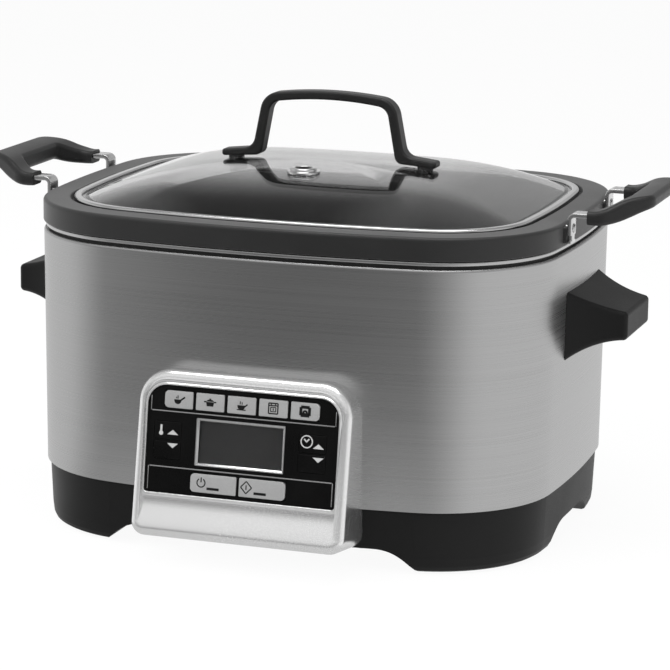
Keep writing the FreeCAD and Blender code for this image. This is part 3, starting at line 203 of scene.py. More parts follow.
def housingOutline(shape):
    # bowed front, back and ends joined by corner arcs that touch them from inside
    front = np.array([0.0, shape["halfDepth"] - shape["frontBow"]])
    end = np.array([shape["halfWidth"] - shape["endBow"], 0.0])
    toFront = shape["frontBow"] - shape["corner"]
    toEnd = shape["endBow"] - shape["corner"]
    gap = end - front
    span = np.hypot(*gap)
    along = (toFront ** 2 - toEnd ** 2 + span ** 2) / (2 * span)
    across = math.sqrt(toFront ** 2 - along ** 2)
    unit = gap / span
    side = np.array([unit[1], -unit[0]])
    near = front + unit * along
    corner = max(near + side * across, near - side * across, key=lambda p: p[0])
    endAngle = math.atan2(corner[1] - end[1], corner[0] - end[0])
    frontAngle = math.atan2(corner[1] - front[1], corner[0] - front[0])
    arcs = [
        (end, shape["endBow"], np.linspace(0, endAngle, shape["endSteps"] + 1)[:-1]),
        (corner, shape["corner"], np.linspace(endAngle, frontAngle, shape["cornerSteps"] + 1)[:-1]),
        (front, shape["frontBow"], np.linspace(frontAngle, math.pi / 2, shape["frontSteps"] + 1)),
    ]
    quarter = np.vstack([c + r * np.column_stack([np.cos(a), np.sin(a)]) for c, r, a in arcs])
    normal = np.vstack([np.column_stack([np.cos(a), np.sin(a)]) for c, r, a in arcs])
    half = np.vstack([quarter, quarter[1:-1][::-1] * [-1, 1]])
    halfNormal = np.vstack([normal, normal[1:-1][::-1] * [-1, 1]])
    return np.vstack([half, -half]), np.vstack([halfNormal, -halfNormal])


outline, outlineNormal = housingOutline(planShape)


def carryRound(profile, scale=None):
    # a profile of inset and height carried round the housing outline, each row scaled about the middle
    inset, height = np.asarray(profile, float).T
    flat = outline[:, None, :] - inset[None, :, None] * outlineNormal[:, None, :]
    if scale is not None:
        flat = flat * np.asarray(scale)[None, :, None]
    return lifted(flat, height)


# tilted key panel

panel = dict(tilt=math.radians(8.2), y=-159.8, z=70.0)


def onPanel(grid):
    # panel width, height and depth turned back by the tilt and set in front of the housing
    u, v, w = np.moveaxis(grid, -1, 0)
    lean, rise = math.sin(panel["tilt"]), math.cos(panel["tilt"])
    return np.stack([u, panel["y"] + v * lean - w * rise, panel["z"] + v * rise + w * lean], axis=-1)


# finishes

def link(tree, source, target):
    tree.links.new(source, target)


def feed(tree, value, socket):
    # a socket takes a plain number or the output of another node
    if isinstance(value, float):
        socket.default_value = value
    else:
        link(tree, value, socket)


def noiseField(tree, scale, detail, rough=0.55):
    # noise on Object coordinates, with one scale for all axes or one for each
    where = tree.nodes.new("ShaderNodeTexCoord")
    mapping = tree.nodes.new("ShaderNodeMapping")
    mapping.inputs["Scale"].default_value = scale if isinstance(scale, tuple) else (scale,) * 3
    noise = tree.nodes.new("ShaderNodeTexNoise")
    noise.inputs["Scale"].default_value = 1.0
    noise.inputs["Detail"].default_value = detail
    noise.inputs["Roughness"].default_value = rough
    link(tree, where.outputs["Object"], mapping.inputs["Vector"])
    link(tree, mapping.outputs["Vector"], noise.inputs["Vector"])
    return noise.outputs["Fac"]


def spread(tree, field, low, high, fromLow=0.3, fromHigh=0.7):
    # low below the first place, high above the second, and a straight change between them
    node = tree.nodes.new("ShaderNodeMapRange")
    node.inputs["From Min"].default_value = fromLow
    node.inputs["From Max"].default_value = fromHigh
    node.inputs["To Min"].default_value = low
    node.inputs["To Max"].default_value = high
    link(tree, field, node.inputs["Value"])
    return node.outputs["Result"]


def tones(tree, field, dark, light, fromLow=0.3, fromHigh=0.7):
    # dark below the first place, light above the second, and an even change between them
    ramp = tree.nodes.new("ShaderNodeValToRGB")
    ramp.color_ramp.elements[0].position = fromLow
    ramp.color_ramp.elements[1].position = fromHigh
    ramp.color_ramp.elements[0].color = (*dark, 1)
    ramp.color_ramp.elements[1].color = (*light, 1)
    link(tree, field, ramp.inputs["Fac"])
    return ramp.outputs["Color"]


def blend(tree, share, first, second):
    # a share of 0 gives the first value and a share of 1 the second
    mix = tree.nodes.new("ShaderNodeMix")
    for socket, value in ((0, share), (2, first), (3, second)):
        feed(tree, value, mix.inputs[socket])
    return mix.outputs[0]


def finish(name, dark, light, rough, metal=0.0, grain=400, blotch=14, share=0.5, bump=0.1, height=0.00008,
           detail=4.0, sockets=None):
    # colour and roughness follow a fine grain mixed with broad blotches, and the grain also lifts the surface
    material = bpy.data.materials.new(name)
    material.use_nodes = True
    tree = material.node_tree
    shader = tree.nodes["Principled BSDF"]
    fine = noiseField(tree, grain, detail)
    broad = noiseField(tree, blotch, detail=2.0)
    both = blend(tree, share, fine, broad)
    link(tree, tones(tree, both, dark, light), shader.inputs["Base Color"])
    link(tree, spread(tree, both, *rough), shader.inputs["Roughness"])
    lift = tree.nodes.new("ShaderNodeBump")
    lift.inputs["Strength"].default_value = bump
    lift.inputs["Distance"].default_value = height
    link(tree, fine, lift.inputs["Height"])
    link(tree, lift.outputs["Normal"], shader.inputs["Normal"])
    shader.inputs["Metallic"].default_value = metal
    for socket, value in (sockets or {}).items():
        shader.inputs[socket].default_value = value
    return material


def grey(value, warm=0.0):
    # a warm grey has that share more red and less blue
    return (value * (1 + warm), value, value * (1 - warm))


finishes = {  # name, darkest and lightest colour, range of roughness, then metal and surface settings
    "housing_steel": finish("brushedHousing", grey(0.41), grey(0.48), (0.25, 0.32), 1.0, grain=(3, 3, 2600),
                            blotch=(7, 7, 30), share=0.3, bump=0.035, height=0.00004,
                            sockets={"Anisotropic": 0.7}),
    "liner_steel": finish("linerSteel", grey(0.42), grey(0.56), (0.2, 0.32), 1.0, grain=(8, 8, 1300),
                          blotch=20, share=0.4, bump=0.08, height=0.00004),
    "lid_steel": finish("lidRingSteel", grey(0.50), grey(0.66), (0.14, 0.24), 1.0, grain=(60, 60, 1800),
                        blotch=30, share=0.4, bump=0.05, height=0.00003),
    "strap_steel": finish("strapSteel", grey(0.52), grey(0.7), (0.12, 0.24), 1.0, grain=700, blotch=60,
                          bump=0.06, height=0.00003),
    "screw_steel": finish("screwSteel", grey(0.4), grey(0.58), (0.2, 0.34), 1.0, grain=900),
    "element_steel": finish("elementSteel", grey(0.2, 0.06), grey(0.38, 0.04), (0.3, 0.45), 1.0, grain=300),
    "heater_cast": finish("castHeater", grey(0.24), grey(0.4), (0.42, 0.6), 0.9, grain=900, bump=0.4),
    "pot_charcoal": finish("potCharcoal", grey(0.007), grey(0.012), (0.42, 0.52), grain=1600, blotch=18,
                           share=0.45, bump=0.14, height=0.00006, detail=3.0,
                           sockets={"Specular IOR Level": 0.4, "Sheen Weight": 0.14, "Sheen Roughness": 0.4}),
    "black_plastic": finish("mouldedBlack", grey(0.003), grey(0.006), (0.42, 0.54), grain=1500, blotch=20,
                            bump=0.22, detail=2.0, sockets={"Specular IOR Level": 0.2}),
    "grip_black": finish("gripBlack", grey(0.007), grey(0.012), (0.38, 0.5), grain=1400, blotch=24, bump=0.25,
                         detail=2.0,
                         sockets={"Specular IOR Level": 0.3, "Sheen Weight": 0.04, "Sheen Roughness": 0.4}),
    "pad_rubber": finish("padRubber", grey(0.014), grey(0.03), (0.7, 0.85), grain=700, bump=0.4),
    "gasket_black": finish("gasketBlack", grey(0.006), grey(0.014), (0.6, 0.75), grain=600, bump=0.3),
    "plate_grey": finish("coatedPlate", grey(0.12), grey(0.2), (0.4, 0.55), 0.6, grain=500, bump=0.2),
    "bezel_silver": finish("satinSilver", grey(0.80), grey(0.88), (0.22, 0.29), 0.95, grain=2200, blotch=16,
                           share=0.4, bump=0.08, height=0.00004, detail=2.0),
    "fascia_black": finish("glossBlack", grey(0.002), grey(0.004), (0.1, 0.2), grain=1200, blotch=40,
                           share=0.7, bump=0.03, height=0.00003, detail=2.0,
                           sockets={"Specular IOR Level": 0.09}),
    "trim_silver": finish("trimSilver", grey(0.48), grey(0.64), (0.18, 0.3), 1.0, grain=(1500, 300, 1500)),
    "key_grey": finish("keyGrey", grey(0.25), grey(0.31), (0.36, 0.48), 0.3, grain=1800, blotch=60, share=0.4,
                       bump=0.08, height=0.00003, detail=2.0),
    "lcd_grey": finish("displayGrey", grey(0.012), grey(0.024), (0.3, 0.4), grain=900, blotch=40),
    "board_green": finish("boardGreen", (0.01, 0.07, 0.03), (0.02, 0.12, 0.05), (0.3, 0.45), grain=500),
    "switch_black": finish("switchBlack", grey(0.012), grey(0.024), (0.45, 0.6), grain=900),
    "wrap_fibre": finish("fibreWrap", grey(0.5, 0.05), grey(0.7, 0.03), (0.85, 0.95), grain=(220, 220, 900),
                         bump=0.8, height=0.0004),
    "lead_sleeve": finish("leadSleeve", grey(0.4, 0.06), grey(0.55, 0.04), (0.5, 0.65), grain=1200),
    "window_clear": finish("displayWindow", grey(0.86), grey(0.92), (0.03, 0.07), grain=90, blotch=30,
                           bump=0.01, height=0.00002, detail=2.0,
                           sockets={"Transmission Weight": 1.0, "IOR": 1.25}),
    "lid_glass_clear": finish("lidGlass", grey(0.78), grey(0.84), (0.0, 0.02), grain=60, blotch=12, share=0.6,
                              bump=0.01, height=0.00002, detail=2.0,
                              sockets={"Transmission Weight": 1.0, "IOR": 1.5}),
}
darkPrint = finish("darkPrint", grey(0.004), grey(0.008), (0.5, 0.6), grain=1500,
                   sockets={"Specular IOR Level": 0.1})
palePrint = finish("palePrint", grey(0.30), grey(0.37), (0.5, 0.6), grain=1500)

slotOf = {row["node"]: row["material_slot"] for row in frame["record"]["subparts"]}
for name, node in nodes.items():
    node.data.materials.clear()
    node.data.materials.append(finishes[slotOf[name]])
print("finishes:", len(finishes))

# housing shell: a sheet profile with a rolled top edge, carried round the outline

shell = dict(bottom=39.5, top=187.4, draft=1.25, sheet=1.0, edge=1.6, lip=8.5, lipSheet=1.2, cutCorner=0.25,
             lipCorner=0.4, bendCorner=0.5)
shellUnder = shell["top"] - shell["lipSheet"]
shellProfile = roundedProfile([
    (shell["draft"], shell["bottom"], shell["cutCorner"]),
    (0.0, shell["top"], shell["edge"]),
    (shell["lip"], shell["top"], shell["lipCorner"]),
    (shell["lip"], shellUnder, shell["lipCorner"]),
    (shell["sheet"], shellUnder, shell["bendCorner"]),
    (shell["draft"] + shell["sheet"], shell["bottom"], shell["cutCorner"]),
])
putPiece("housing", [solid(carryRound(shellProfile), True, True)], finishes["housing_steel"], "base",
         ["outer_shell"])
print("housing made")

# pot: outer wall, turned-down rim, lid recess and inner wall as one profile round the outline

pot = dict(rimInset=-0.4, rimLow=192.2, rimTop=206.4, rimEdge=2.2, lipSheet=3.2, lipCorner=0.8, slab=199.5,
           slabCorner=1.5, wallInset=22.6, recessInset=16.5, recess=202.8, recessCorner=0.6, innerInset=25.5,
           innerCorner=1.4, outerFoot=[(42.0, 66.0, 0.0), (35.0, 68.0, 3.0), (31.0, 74.0, 5.0)],
           innerFoot=[(34.0, 77.0, 5.0), (38.0, 71.0, 5.0), (45.0, 69.0, 0.0)])
lipInset = pot["rimInset"] + pot["lipSheet"]
potProfile = roundedProfile([
    *pot["outerFoot"],
    (pot["wallInset"], pot["slab"], pot["slabCorner"]),
    (lipInset, pot["slab"], pot["slabCorner"]),
    (lipInset, pot["rimLow"], pot["lipCorner"]),
    (pot["rimInset"], pot["rimLow"], pot["lipCorner"]),
    (pot["rimInset"], pot["rimTop"], pot["rimEdge"]),
    (pot["recessInset"], pot["rimTop"], pot["lipCorner"]),
    (pot["recessInset"], pot["recess"], pot["recessCorner"]),
    (pot["innerInset"], pot["recess"], pot["innerCorner"]),
    *pot["innerFoot"],
], closed=False)

# four flat pads on the rim's ends, under the feet of the straps
pad = dict(low=162.5, high=168.68, y=47.5, z=199.3, half=(5.9, 5.1), corner=1.2, soft=0.5, edge=0.15)
padRows = [(0.0, pad["low"]), (0.0, pad["high"] - pad["soft"]), (pad["edge"], pad["high"] - pad["edge"]),
           (pad["soft"], pad["high"])]
padGrid = insetRows(roundedBox(*pad["half"], [pad["corner"]] * 4, (pad["y"], pad["z"])), padRows)
padSolid = solid(padGrid[..., [2, 0, 1]])
padBack = dict(padSolid, points=padSolid["points"] - [0, 2 * pad["y"], 0])
potBodies = [solid(carryRound(potProfile)), padSolid, padBack, mirrored(padSolid), mirrored(padBack)]
putPiece("pot", potBodies, finishes["pot_charcoal"], "pot", ["cooking_pot"])
print("pot made")

# lid: domed glass with a flat edge, and the steel channel round it

lid = dict(domeInset=26.0, edgeInset=20.8, edgeTop=206.2, edgeLow=203.8, edgeCorner=0.9, topOverlap=0.4,
           lowOverlap=1.2, rise=20.8, power=3.0, sheet=3.6, rings=26, smallest=0.03, lowScale=0.98)


def domeHeight(size):
    # the dome rises as one minus the cube of the distance from the middle
    return lid["edgeTop"] + lid["rise"] * (1 - size ** lid["power"])


topSize = lid["smallest"] + (1 - lid["smallest"]) * np.sin(np.linspace(0, math.pi / 2, lid["rings"]))
lowSize = topSize[::-1] * lid["lowScale"]
edgeRows = roundedProfile([
    (lid["domeInset"] - lid["topOverlap"], lid["edgeTop"], 0.0),
    (lid["edgeInset"], lid["edgeTop"], lid["edgeCorner"]),
    (lid["edgeInset"], lid["edgeLow"], lid["edgeCorner"]),
    (lid["domeInset"] + lid["lowOverlap"], lid["edgeLow"], 0.0),
], steps=5, closed=False)
glassProfile = np.vstack([
    np.column_stack([np.full_like(topSize, lid["domeInset"]), domeHeight(topSize)]),
    edgeRows,
    np.column_stack([np.full_like(lowSize, lid["domeInset"]), domeHeight(lowSize) - lid["sheet"]]),
])
glassScale = np.concatenate([topSize, np.ones(len(edgeRows)), lowSize])
putPiece("lidDome", [solid(carryRound(glassProfile, glassScale))], finishes["lid_glass_clear"], "lid",
         ["lid_glass"], sharp=50)

ring = dict(inset=18.8, low=203.0, top=207.8, band=5.0, edge=1.5, wall=1.85, lowLip=0.65, topLip=1.5,
            reach=4.2, lowCorner=0.5, bandCorner=1.2, lipCorner=0.2)
bandInset, wallInset, reachInset = (ring["inset"] + ring[width] for width in ("band", "wall", "reach"))
topUnder, lowOver = ring["top"] - ring["topLip"], ring["low"] + ring["lowLip"]
ringProfile = roundedProfile([
    (ring["inset"], ring["low"], ring["lowCorner"]),
    (ring["inset"], ring["top"], ring["edge"]),
    (bandInset, ring["top"], ring["bandCorner"]),
    (bandInset, topUnder, ring["lipCorner"]),
    (wallInset, topUnder, 0.0),
    (wallInset, lowOver, 0.0),
    (reachInset, lowOver, ring["lipCorner"]),
    (reachInset, ring["low"], ring["lipCorner"]),
])
putPiece("lidRing", [solid(carryRound(ringProfile), True, True)], finishes["lid_steel"], "lid",
         ["lid_rim"])

# eyelet: a flanged steel ring spun about its own axis, with a black lining in its bore that paints the shade
# of the deep hole
vent = dict(axis=(-2.0, -45.0), seat=10.4, collar=8.2, bore=5.4, shadeLiningInner=4.4, tube=6.0, top=228.6, seatTop=226.7,
            seatLow=225.0, low=219.4, lowTop=220.6, fine=0.2, soft=0.3, lowEdge=0.4, step=0.5, mouth=0.6,
            crown=1.2, shadeLiningDrop=0.5, shadeLiningCorner=0.3)
ventProfile = roundedProfile([
    (vent["bore"], vent["low"], vent["soft"]),
    (vent["collar"], vent["low"], vent["lowEdge"]),
    (vent["collar"], vent["lowTop"], vent["soft"]),
    (vent["tube"], vent["lowTop"], vent["fine"]),
    (vent["tube"], vent["seatLow"], vent["fine"]),
    (vent["seat"], vent["seatLow"], vent["soft"]),
    (vent["seat"], vent["seatTop"], vent["step"]),
    (vent["collar"], vent["seatTop"], vent["step"]),
    (vent["collar"], vent["top"], vent["crown"]),
    (vent["bore"], vent["top"], vent["mouth"]),
], steps=5)
putPiece("steamEyelet", [solid(turned(ventProfile, vent["axis"]), True, True)], finishes["lid_steel"], "lid",
         ["vent_grommet"])
# painted shade: a black sleeve inside the bore stands in for the shade that fills the hole
boreShadeTop = vent["top"] - vent["shadeLiningDrop"]
boreShadeProfile = roundedProfile([
    (vent["shadeLiningInner"], vent["low"], 0.0),
    (vent["bore"], vent["low"], 0.0),
    (vent["bore"], boreShadeTop, 0.0),
    (vent["shadeLiningInner"], boreShadeTop, vent["shadeLiningCorner"]),
], steps=4)
putPiece("eyeletBoreShade", [solid(turned(boreShadeProfile, vent["axis"]), True, True)], finishes["gasket_black"],
         "lid")
print("lid made")

# straps: a flat bar with soft edges bent from the rim into the grip, narrowed to a tongue above its foot

strap = dict(x=170.05, top=211.65, foot=194.2, footSoft=0.3, end=189.9, bend=3.25, bendSteps=8, y=47.5,
             half=5.7, tongue=3.0, halfThick=1.35, edge=0.45, tongueLow=195.8, tongueTop=199.0,
             ease=0.18, around=24)


def strapBody(side):
    # one rounded section, wide at the foot, narrow at the tongue, then carried up and round the bend
    low, high, ease = strap["tongueLow"], strap["tongueTop"], strap["ease"]
    line = roundCorners([(strap["x"], high + ease), (strap["x"], strap["top"]), (strap["end"], strap["top"])],
                        [0, strap["bend"], 0], strap["bendSteps"], False)
    stem = np.array([strap["foot"], strap["foot"] + strap["footSoft"], low - ease, low + ease, high - ease])
    line = np.vstack([np.column_stack([np.full_like(stem, strap["x"]), stem]), line])
    wide, narrow = strap["half"], strap["tongue"]
    half = np.full(len(line), wide)
    half[:len(stem)] = [wide - strap["footSoft"], wide, wide, narrow, narrow]
    along = np.gradient(line, axis=0)
    along /= np.linalg.norm(along, axis=1, keepdims=True)
    across = np.column_stack([along[:, 1], -along[:, 0]])
    angle = np.linspace(0, 2 * math.pi, strap["around"], endpoint=False) + math.pi / strap["around"]
    sideways, depth = np.sign(np.cos(angle)), np.sign(np.sin(angle))
    edge = strap["edge"]
    y = side * strap["y"] + sideways * (half[:, None] - edge) + edge * np.cos(angle)
    out = depth * (strap["halfThick"] - edge) + edge * np.sin(angle)
    x = line[:, 0:1] + across[:, 0:1] * out
    z = line[:, 1:2] + across[:, 1:2] * out
    return solid(np.stack([x, np.broadcast_to(y, x.shape), z], axis=-1), False, True)


strapPair = [strapBody(1), strapBody(-1)]
putPiece("strapRight", strapPair, finishes["strap_steel"], "pot", ["pot_strap_right"])
putPiece("strapLeft", [mirrored(b) for b in strapPair], finishes["strap_steel"], "pot",
         ["pot_strap_left"])

# rivets: a dome of a quarter ellipse on a straight shank, spun about an axis along X
rivet = dict(z=203.2, x=171.4, shank=1.8, depth=8.0, head=2.8, dome=1.15, core=0.3, rim=0.1, steps=8,
             around=24)
swell = np.linspace(0, math.pi / 2, rivet["steps"])[:-1]
rivetProfile = np.vstack([
    [(rivet["core"], -rivet["depth"]), (rivet["shank"], -rivet["depth"]), (rivet["shank"], 0.0),
     (rivet["head"], 0.0)],
    np.column_stack([rivet["head"] * np.cos(swell), rivet["rim"] + rivet["dome"] * np.sin(swell)]),
])
across, upright, outwards = np.moveaxis(turned(rivetProfile, (0.0, 0.0), rivet["around"]), -1, 0)
rivetBodies = []
for side in (strap["y"], -strap["y"]):
    body = solid(np.stack([outwards + rivet["x"], across + side, upright + rivet["z"]], axis=-1))
    rivetBodies += [body, mirrored(body)]
putPiece("rivetHeads", rivetBodies, finishes["screw_steel"], "pot", ["strap_rivets"])
print("straps and rivets made")

# bezel: rows between the opening and the outer edge, a bead, a groove, then an edge that rolls to the housing

bezel = dict(half=67.6, low=-51.0, top=50.0, lowCorner=9.0, topCorner=20.0, openHalf=60.5, openLow=-24.4,
             openTop=40.8, openLowCorner=2.0, openTopCorner=12.0, steps=10, faceSteps=12, rollSteps=12,
             roll=5.0, chinRoll=6.5, chinFrom=-26.5, flare=5.6, dip=0.5, dipShare=0.5,
             crown=0.2, crownGap=14.0, crownFade=6.0, wall=2.6, sink=0.4, skirt=1.0,
             underShare=0.15, underDrop=1.2, lip=2.4, lipDepth=-5.5)
beadRows = [(0.0, -3.0), (0.0, 0.2), (0.12, 0.5), (0.4, 0.68), (0.8, 0.68), (1.1, 0.45), (1.35, 0.1),
            (1.7, -0.12), (2.1, -0.05), (2.6, 0.08)]
housingInset = dict(z=[0.0, 10.0, 38.9, 39.5, 187.4], inset=[4.5, 4.5, 3.2, 1.25, 0.0], guess=-20.0, rounds=6)


def ringPath(half, low, top, lowCorner, topCorner):
    # rounded rectangle about the panel's middle line, with its own corners below and above
    corners = [lowCorner, lowCorner, topCorner, topCorner]
    return roundedBox(half, (top - low) / 2, corners, (0.0, (top + low) / 2), bezel["steps"])


def depthAtHousing(path):
    # panel depth at which a line square to the panel meets the bowed front, found in a few rounds
    lean, rise = math.sin(panel["tilt"]), math.cos(panel["tilt"])
    bow = planShape["frontBow"] - np.sqrt(planShape["frontBow"] ** 2 - path[:, 0] ** 2)
    depth = np.full(len(path), housingInset["guess"])
    for _ in range(housingInset["rounds"]):
        z = panel["z"] + path[:, 1] * rise + depth * lean
        inset = np.interp(z, housingInset["z"], housingInset["inset"])
        depth = (panel["y"] + path[:, 1] * lean + planShape["halfDepth"] - inset - bow) / rise
    return depth - bezel["sink"]


def chinShare(v):
    # 0 above the chin, 1 at its lower edge
    return np.clip((bezel["chinFrom"] - v) / (bezel["chinFrom"] - bezel["low"]), 0, 1)


def eased(t):
    # three times the square less twice the cube: level at both ends, steepest halfway
    return t ** 2 * (3 - 2 * t)


def chinDepth(v):
    # the chin first hollows a little below the opening, then sweeps outwards, steepest halfway down
    t = chinShare(v)
    hollow = np.sin(math.pi * np.clip(t / bezel["dipShare"], 0, 1))
    return bezel["flare"] * eased(t) - bezel["dip"] * hollow


def bezelBody():
    # two rounded rectangles, point for point, joined by rows that run from the opening out and back inside
    inner = ringPath(bezel["openHalf"], bezel["openLow"], bezel["openTop"], bezel["openLowCorner"],
                     bezel["openTopCorner"])
    outer = ringPath(bezel["half"], bezel["low"], bezel["top"], bezel["lowCorner"], bezel["topCorner"])
    innerOut, outerOut = outwardNormals(inner), outwardNormals(outer)
    roll = bezel["roll"] + (bezel["chinRoll"] - bezel["roll"]) * eased(chinShare(outer[:, 1]))
    rows = [np.column_stack([inner + d * innerOut, np.full(len(inner), w)]) for d, w in beadRows]

    # the face, with a slight crown where it is narrow
    first = rows[-1]
    last = np.column_stack([outer - roll[:, None] * outerOut, np.zeros(len(outer))])
    gap = np.linalg.norm(last[:, :2] - first[:, :2], axis=1)
    crown = bezel["crown"] * np.clip((bezel["crownGap"] - gap) / bezel["crownFade"], 0, 1)
    for t in np.linspace(0, 1, bezel["faceSteps"])[1:-1]:
        row = first * (1 - t) + last * t
        row[:, 2] += crown * math.sin(math.pi * t)
        rows.append(row)

    # the rolled edge as a quarter circle, and the chin's sweep on everything so far
    for angle in np.linspace(0, math.pi / 2, bezel["rollSteps"]):
        edge = outer - (roll * (1 - math.sin(angle)))[:, None] * outerOut
        rows.append(np.column_stack([edge, -roll * (1 - math.cos(angle))]))
    for row in rows:
        row[:, 2] += chinDepth(row[:, 1])

    # the flank down to the housing, and back up inside it to the opening
    back = np.minimum(depthAtHousing(outer), -roll - bezel["skirt"])
    under = (bezel["wall"] + bezel["underShare"] * roll)[:, None]
    lipDepth = np.full(len(inner), bezel["lipDepth"])
    rows.append(np.column_stack([outer, (back - roll) / 2]))
    rows.append(np.column_stack([outer, back]))
    rows.append(np.column_stack([outer - bezel["wall"] * outerOut, back]))
    rows.append(np.column_stack([outer - under * outerOut, -roll - bezel["underDrop"]]))
    rows.append(np.column_stack([inner + bezel["lip"] * innerOut, lipDepth]))
    rows.append(np.column_stack([inner, lipDepth]))
    return solid(onPanel(np.stack(rows, axis=1)), True, True)


putPiece("panelBezel", [bezelBody()], finishes["bezel_silver"], "base", ["control_bezel"],
         sharp=40)

# display surround: a flat outer band that slopes down to the window
screen = dict(centre=(-0.8, 8.2), half=(28.2, 14.35), corner=0.7, flat=0.45, band=1.7, front=-0.05,
              window=-1.15, back=-2.8, edge=0.2, edgeIn=0.08, edgeDrop=0.04, fold=0.1, foldDrop=0.05)
screenPath = roundedBox(*screen["half"], [screen["corner"]] * 4, screen["centre"], steps=4)
screenProfile = [
    (0.0, screen["back"]),
    (0.0, screen["front"] - screen["edge"]),
    (screen["edgeIn"], screen["front"] - screen["edgeDrop"]),
    (screen["edge"], screen["front"]),
    (screen["flat"], screen["front"]),
    (screen["flat"] + screen["fold"], screen["front"] - screen["foldDrop"]),
    (screen["band"] - screen["fold"], screen["window"] + screen["fold"]),
    (screen["band"], screen["window"]),
    (screen["band"], screen["back"]),
]
putPiece("displaySurround", [solid(onPanel(insetRows(screenPath, screenProfile)), True, True)],
         finishes["trim_silver"], "base", ["display_frame"])

# silver lines: dividers across the black face, and short uprights that end its upper and lower bands
lines = dict(v=(25.0, -8.6), half=57.9, halfThick=0.35, front=-0.38, low=-1.0, corner=0.2, edge=0.12,
             edgeShare=0.3, uprightU=58.4, uprightV=((29.4, 4.4), (-15.6, 7.0)), uprightHalf=0.28,
             uprightFront=-0.3)


def panelBar(centre, halfU, halfV, front):
    # a bar on the panel with its front edges broken
    edge, part = lines["edge"], lines["edgeShare"] * lines["edge"]
    path = roundedBox(halfU, halfV, [lines["corner"]] * 4, centre, steps=3)
    rows = [(0.0, lines["low"]), (0.0, front - edge), (part, front - part), (edge, front)]
    return solid(onPanel(insetRows(path, rows)))


lineBodies = [panelBar((0.0, v), lines["half"], lines["halfThick"], lines["front"]) for v in lines["v"]]
for u in (lines["uprightU"], -lines["uprightU"]):
    for v, half in lines["uprightV"]:
        lineBodies.append(panelBar((u, v), lines["uprightHalf"], half, lines["uprightFront"]))
putPiece("panelLines", lineBodies, finishes["trim_silver"], "base", ["fascia_trim"])
print("panel made")

# keys: a rounded plate with a softened front edge, and its printed sign

keyPlate = dict(back=-4.2, bevel=0.4, bevelShares=(0.12, 0.45), small=0.7, large=2.6, printLow=-0.02,
                printHeight=0.05, bold=1.4)
keyPlace = dict(modeRow=32.4, modeFirst=-41.0, modePitch=20.0, wideRow=-16.4, upRow=13.4, downRow=1.6,
                powerColumn=-16.4, startColumn=14.6, tempColumn=-47.2, timeColumn=44.6, darkFace=-0.45)
modeSize, wideSize, darkSize = (9.0, 5.2), (14.6, 5.6), (8.6, 5.4)
small, large = keyPlate["small"], keyPlate["large"]
plainCorners = [small] * 4
leftCorners = [large, small, small, large]
rightCorners = [small, large, large, small]
modeCorners = {"key_saute": leftCorners, "key_slow_cook": plainCorners, "key_steam": plainCorners,
               "key_bake": plainCorners, "key_roast": rightCorners}
keys = {}  # centre, half size, depth of the face, corner radii from the lower left
for place, (name, corners) in enumerate(modeCorners.items()):
    centre = (keyPlace["modeFirst"] + keyPlace["modePitch"] * place, keyPlace["modeRow"])
    keys[name] = (centre, modeSize, 0.0, corners)
keys["key_power"] = ((keyPlace["powerColumn"], keyPlace["wideRow"]), wideSize, 0.0, leftCorners)
keys["key_start"] = ((keyPlace["startColumn"], keyPlace["wideRow"]), wideSize, 0.0, rightCorners)
for purpose in ("temp", "time"):
    for way in ("up", "down"):
        centre = (keyPlace[purpose + "Column"], keyPlace[way + "Row"])
        keys[f"key_{purpose}_{way}"] = (centre, darkSize, keyPlace["darkFace"], plainCorners)


def disc(x, y, r, first, last, count):
    # arc of a circle between two angles in degrees
    angle = np.radians(np.linspace(first, last, count))
    return np.column_stack([x + r * np.cos(angle), y + r * np.sin(angle)])


def stroke(x0, y0, x1, y1, width):
    # a straight line as a thin four-sided shape
    along = np.array([x1 - x0, y1 - y0])
    side = np.array([-along[1], along[0]]) / np.hypot(*along) * width * keyPlate["bold"] / 2
    return np.array([(x0, y0) - side, (x1, y1) - side, (x1, y1) + side, (x0, y0) + side])


def band(x, y, outer, inner, first, last, count):
    # part of a ring, run out along the outer arc and back along the inner one
    return np.vstack([disc(x, y, outer, first, last, count), disc(x, y, inner, last, first, count)])


def loop(corners, width):
    # a stroke from each corner to the next and back to the first
    return [stroke(*p, *q, width) for p, q in zip(corners, corners[1:] + corners[:1])]


def box(halfU, low, high):
    # corners of an upright rectangle about the key's middle line
    return [(-halfU, low), (halfU, low), (halfU, high), (-halfU, high)]


